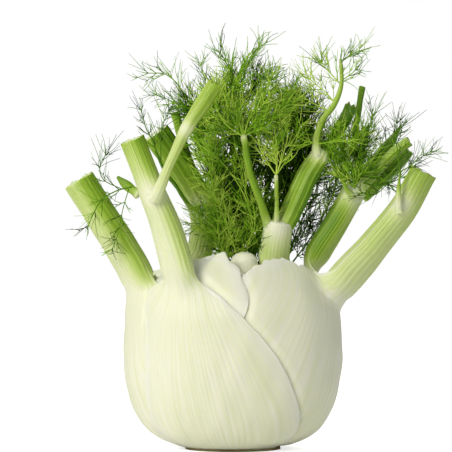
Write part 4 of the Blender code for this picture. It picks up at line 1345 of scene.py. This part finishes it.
def fennel_leaf_skin_grown(tree, shader):
    """Waxy and moist: cream white below and green above, streaked along its veins, and pale at its joints."""
    fan, grain = (attribute(tree, name, "Vector") for name in ("fan", "grain"))
    # The green attribute also carries painted shade: the side of each stem, and partly of each stalk, that is
    # turned away from the key light is greener.
    stalk, green, rim, joint = (attribute(tree, name) for name in ("stalk", "green", "rim", "joint"))
    patterns = []
    for source in (fan, grain):
        for width, length in STREAKS:
            scale = (1 / width, 1 / length, 1.0)
            spread = add_node(tree, "ShaderNodeMapping", [("Vector", source)], Scale=scale).outputs[0]
            patterns.append(noise(tree, spread, 1.0, 1.5))
    streak, thread = (
        add_node(tree, "ShaderNodeMix", [("Factor", stalk), ("A", base), ("B", top)]).outputs[0]
        for base, top in zip(patterns[:2], patterns[2:])
    )
    cloud = noise(tree, object_place(tree), 0.03, 3.0)
    streaks, threads, clouds = (
        maths(tree, "MULTIPLY", maths(tree, "SUBTRACT", pattern, 0.5), strength)
        for pattern, strength in ((streak, 0.55), (thread, 0.3), (cloud, 0.16))
    )
    depth = maths(tree, "MULTIPLY_ADD", green, 0.8, 0.55)
    amount = maths(tree, "MULTIPLY_ADD", maths(tree, "ADD", streaks, threads), depth, clouds)
    amount = maths(tree, "ADD", amount, maths(tree, "ADD", green, 0.07))
    amount = maths(tree, "MULTIPLY", amount, maths(tree, "MULTIPLY_ADD", joint, -0.8, 1.0))
    amount = maths(tree, "MULTIPLY_ADD", rim, -0.12, amount)
    height = maths(tree, "MULTIPLY_ADD", streak, 0.6, maths(tree, "MULTIPLY", thread, 0.4))
    colour = colour_ramp(tree, amount, SKIN_STOPS)
    links = (("Base Color", colour), ("Roughness", maths(tree, "MULTIPLY_ADD", thread, 0.18, 0.3)))
    sockets = {
        "IOR": 1.42,
        "Specular_IOR_Level": 0.4,
        "Subsurface_Weight": 0.35,
        "Subsurface_Radius": (1.0, 0.9, 0.4),
        "Subsurface_Scale": 0.002,
    }
    coat(tree, shader, height, 0.5, 0.0003, links, **sockets)


def fennel_stalk_flesh_sliced(tree, shader):
    """Wet pale green pith, with darker bundles of fibre about 1 mm apart."""
    place = object_place(tree)
    bundles = cells(tree, place, 0.0011)
    flesh = colour_ramp(tree, bundles, ((0.0, "#7FA63A"), (0.25, "#BFD488"), (0.6, "#D5E2A6")))
    shade = colour_ramp(tree, noise(tree, place, 0.004, 3.0), ((0.3, "#D8E2B0"), (0.7, "#F4F6DF")))
    links = (("Base Color", multiplied(tree, flesh, shade, 0.8)),)
    sockets = {"Roughness": 0.42, "Subsurface_Weight": 0.2, "Subsurface_Scale": 0.001}
    coat(tree, shader, bundles, 0.5, 0.0002, links, **sockets)


def fennel_stalk_flesh_torn(tree, shader):
    """Dried brownish fibres at a ragged end."""
    fibre = noise(tree, object_place(tree), 0.0007, 3.0)
    colour = colour_ramp(tree, fibre, ((0.3, "#5E6B1E"), (0.5, "#8E8A3A"), (0.7, "#B79F5C")))
    coat(tree, shader, fibre, 0.7, 0.0003, (("Base Color", colour),), Roughness=0.75)


def fennel_root_flesh_cut(tree, shader):
    """Firm cream flesh cut with a knife, with tan dry rings and fibre ends."""
    place = object_place(tree)
    wave = {"wave_type": "RINGS", "rings_direction": "Z", "Scale": 1 / 0.02, "Distortion": 4.0}
    rings = add_node(tree, "ShaderNodeTexWave", [("Vector", place)], **wave).outputs["Fac"]
    fibres = cells(tree, place, 0.0016)
    base = colour_ramp(tree, rings, ((0.0, "#E6DDB4"), (0.6, "#D8C896"), (1.0, "#B99A62")))
    dots = colour_ramp(tree, fibres, ((0.05, "#A98A55"), (0.3, "#F2ECD0")))
    links = (("Base Color", multiplied(tree, base, dots, 0.7)),)
    coat(tree, shader, fibres, 0.5, 0.0003, links, Roughness=0.68)


def fennel_leaf_thread_grown(tree, shader):
    """Thin soft green with a faint shine, lighter where it is young."""
    mottle = noise(tree, object_place(tree), 0.003, 2.0)
    amount = maths(tree, "MULTIPLY_ADD", mottle, 0.3, attribute(tree, "tone"))
    colour = colour_ramp(tree, maths(tree, "SUBTRACT", amount, 0.15), THREAD_STOPS)
    tree.links.new(colour, shader.inputs["Base Color"])
    shader.inputs["Roughness"].default_value = 0.6
    shader.inputs["Specular IOR Level"].default_value = 0.2


class FennelLooks(bpy.types.PropertyGroup):
    """The sizes and colours a user may change before building."""

    vein_depth: bpy.props.FloatProperty(
        name="Vein depth",
        description="How far the veins stand out of a leaf base",
        default=0.15 * MM,
        unit="LENGTH",
    )
    ridge_depth: bpy.props.FloatProperty(
        name="Ridge depth",
        description="How far the ridges stand out of a stalk",
        default=0.22 * MM,
        unit="LENGTH",
    )
    lens: bpy.props.FloatProperty(
        name="Lens",
        description="The camera's focal length in millimetres",
        default=250.0,
    )
    view_height: bpy.props.FloatProperty(
        name="Camera elevation",
        description="How far above level the camera looks from",
        default=math.radians(2.0),
        subtype="ANGLE",
    )
    floor_colour: bpy.props.FloatVectorProperty(
        name="Floor colour",
        description="The colour of the plain floor",
        default=linear("#FAFAF8"),
        size=3,
        subtype="COLOR",
    )


class FENNEL_OT_leaves(bpy.types.Operator):
    """Build the six leaves, each with its base round the bulb and its stalk"""

    bl_idname = "fennel.leaves"
    bl_label = "Leaves"

    def execute(self, context):
        for name in LEAVES:
            make_leaf(name, context.scene.fennel_looks)
        return {"FINISHED"}


class FENNEL_OT_heart_bud(bpy.types.Operator):
    """Build the closed youngest leaf in the middle"""

    bl_idname = "fennel.heart_bud"
    bl_label = "Heart bud"

    def execute(self, context):
        make_heart_bud()
        return {"FINISHED"}


class FENNEL_OT_stem_base(bpy.types.Operator):
    """Build the short stem with the cut root end"""

    bl_idname = "fennel.stem_base"
    bl_label = "Stem base"

    def execute(self, context):
        make_stem_base()
        return {"FINISHED"}


class FENNEL_OT_stems(bpy.types.Operator):
    """Build the stems that branch off at the stalks' joints"""

    bl_idname = "fennel.stems"
    bl_label = "Side stems"

    def execute(self, context):
        for name in STEMS:
            make_stem(name)
        return {"FINISHED"}


class FENNEL_OT_fronds(bpy.types.Operator):
    """Build the feathery fronds"""

    bl_idname = "fennel.fronds"
    bl_label = "Fronds"

    def execute(self, context):
        for name in FRONDS:
            make_frond(name)
        return {"FINISHED"}


class FENNEL_OT_stage(bpy.types.Operator):
    """Build the floor, the soft lights and the camera"""

    bl_idname = "fennel.stage"
    bl_label = "Stage"

    def execute(self, context):
        make_stage(context.scene, context.scene.fennel_looks)
        return {"FINISHED"}


def make_light(name, place, size, power, colour):
    """A soft square light that shines at the middle of the bulb."""
    data = bpy.data.lights.new(name, "AREA")
    data.shape = "SQUARE"
    data.size = size
    data.energy = power
    data.color = linear(colour)
    lamp = bpy.data.objects.new(name, data)
    lamp.location = place
    lamp.rotation_euler = (Vector(LIT_PLACE) - Vector(place)).to_track_quat("-Z", "Y").to_euler()
    bpy.context.scene.collection.objects.link(lamp)


def seen_by_camera(tree, ordinary, seen, output):
    """Shows one shader to the camera and the other to every other ray."""
    camera_ray = add_node(tree, "ShaderNodeLightPath").outputs["Is Camera Ray"]
    mix = add_node(tree, "ShaderNodeMixShader")
    for socket, source in zip(mix.inputs, (camera_ray, ordinary, seen)):
        tree.links.new(source, socket)
    tree.links.new(mix.outputs[0], tree.nodes[output].inputs["Surface"])


def studio_paper_matt(tree, shader):
    """Plain matt paper that the camera sees lit from below too."""
    fibre = noise(tree, object_place(tree), 0.025, 2.0)
    coat(tree, shader, fibre, 0.05, 0.0002, Roughness=0.9)
    glow = add_node(tree, "ShaderNodeEmission", Color=(1.0, 1.0, 1.0, 1.0), Strength=FLOOR_GLOW)
    both = add_node(tree, "ShaderNodeAddShader")
    for socket, source in zip(both.inputs, (shader.outputs[0], glow.outputs[0])):
        tree.links.new(source, socket)
    seen_by_camera(tree, shader.outputs[0], both.outputs[0], "Material Output")


def make_floor(scene, looks):
    """A wide plain floor of pale paper."""
    bm = bmesh.new()
    bmesh.ops.create_grid(bm, x_segments=1, y_segments=1, size=6.0)
    mesh = bpy.data.meshes.new("floor")
    bm.to_mesh(mesh)
    bm.free()
    paper = material(studio_paper_matt)
    paper.node_tree.nodes["Principled BSDF"].inputs["Base Color"].default_value = (*looks.floor_colour, 1.0)
    mesh.materials.append(paper)
    floor = bpy.data.objects.new("floor", mesh)
    scene.collection.objects.link(floor)


def make_world(scene):
    """Soft even light all round, which the camera sees as white."""
    world = bpy.data.worlds.new("studio")
    world.use_nodes = True
    tree = world.node_tree
    background = tree.nodes["Background"]
    background.inputs["Color"].default_value = (1.0, 1.0, 1.0, 1.0)
    background.inputs["Strength"].default_value = WORLD_STRENGTH
    bright = add_node(tree, "ShaderNodeBackground", Color=(1.0, 1.0, 1.0, 1.0), Strength=1.0)
    seen_by_camera(tree, background.outputs[0], bright.outputs[0], "World Output")
    scene.world = world


def make_camera(scene, looks):
    """A camera nearly level with the bulb, far enough away that it hardly tapers."""
    data = bpy.data.cameras.new("camera")
    data.lens = looks.lens
    data.sensor_width = 36.0
    data.clip_end = 20.0
    camera = bpy.data.objects.new("camera", data)
    distance = VIEW_WIDTH * MM * looks.lens / data.sensor_width
    away = Vector((0.0, -math.cos(looks.view_height), math.sin(looks.view_height)))
    camera.location = Vector(VIEW_TARGET) * MM + away * distance
    camera.rotation_euler = (-away).to_track_quat("-Z", "Y").to_euler()
    scene.collection.objects.link(camera)
    scene.camera = camera


def make_stage(scene, looks):
    """The floor, the even light, a soft key light from the left, a weak fill, a back light and the camera."""
    make_floor(scene, looks)
    make_world(scene)
    for lamp in LAMPS:
        make_light(*lamp)
    make_camera(scene, looks)
    scene.view_settings.view_transform = "Standard"


class FENNEL_PT_panel(bpy.types.Panel):
    """Lists the pieces of the fennel bulb"""

    bl_idname = "FENNEL_PT_panel"
    bl_label = "Fennel bulb"
    bl_space_type = "VIEW_3D"
    bl_region_type = "UI"
    bl_category = "Fennel"

    def draw(self, context):
        looks = context.scene.fennel_looks
        for key in ("vein_depth", "ridge_depth", "lens", "view_height", "floor_colour"):
            self.layout.prop(looks, key)
        for operator in OPERATORS:
            self.layout.operator(operator.bl_idname)


OPERATORS = (
    FENNEL_OT_stem_base,
    FENNEL_OT_heart_bud,
    FENNEL_OT_leaves,
    FENNEL_OT_stems,
    FENNEL_OT_fronds,
    FENNEL_OT_stage,
)


def register():
    bpy.utils.register_class(FennelLooks)
    for operator in OPERATORS:
        bpy.utils.register_class(operator)
    bpy.utils.register_class(FENNEL_PT_panel)
    bpy.types.Scene.fennel_looks = bpy.props.PointerProperty(type=FennelLooks)


def unregister():
    del bpy.types.Scene.fennel_looks
    bpy.utils.unregister_class(FENNEL_PT_panel)
    for operator in reversed(OPERATORS):
        bpy.utils.unregister_class(operator)
    bpy.utils.unregister_class(FennelLooks)


def main():
    """Build every piece and the stage."""
    register()
    bpy.ops.fennel.stem_base()
    bpy.ops.fennel.heart_bud()
    bpy.ops.fennel.leaves()
    bpy.ops.fennel.stems()
    bpy.ops.fennel.fronds()
    bpy.ops.fennel.stage()


if __name__ == "__main__":
    main()
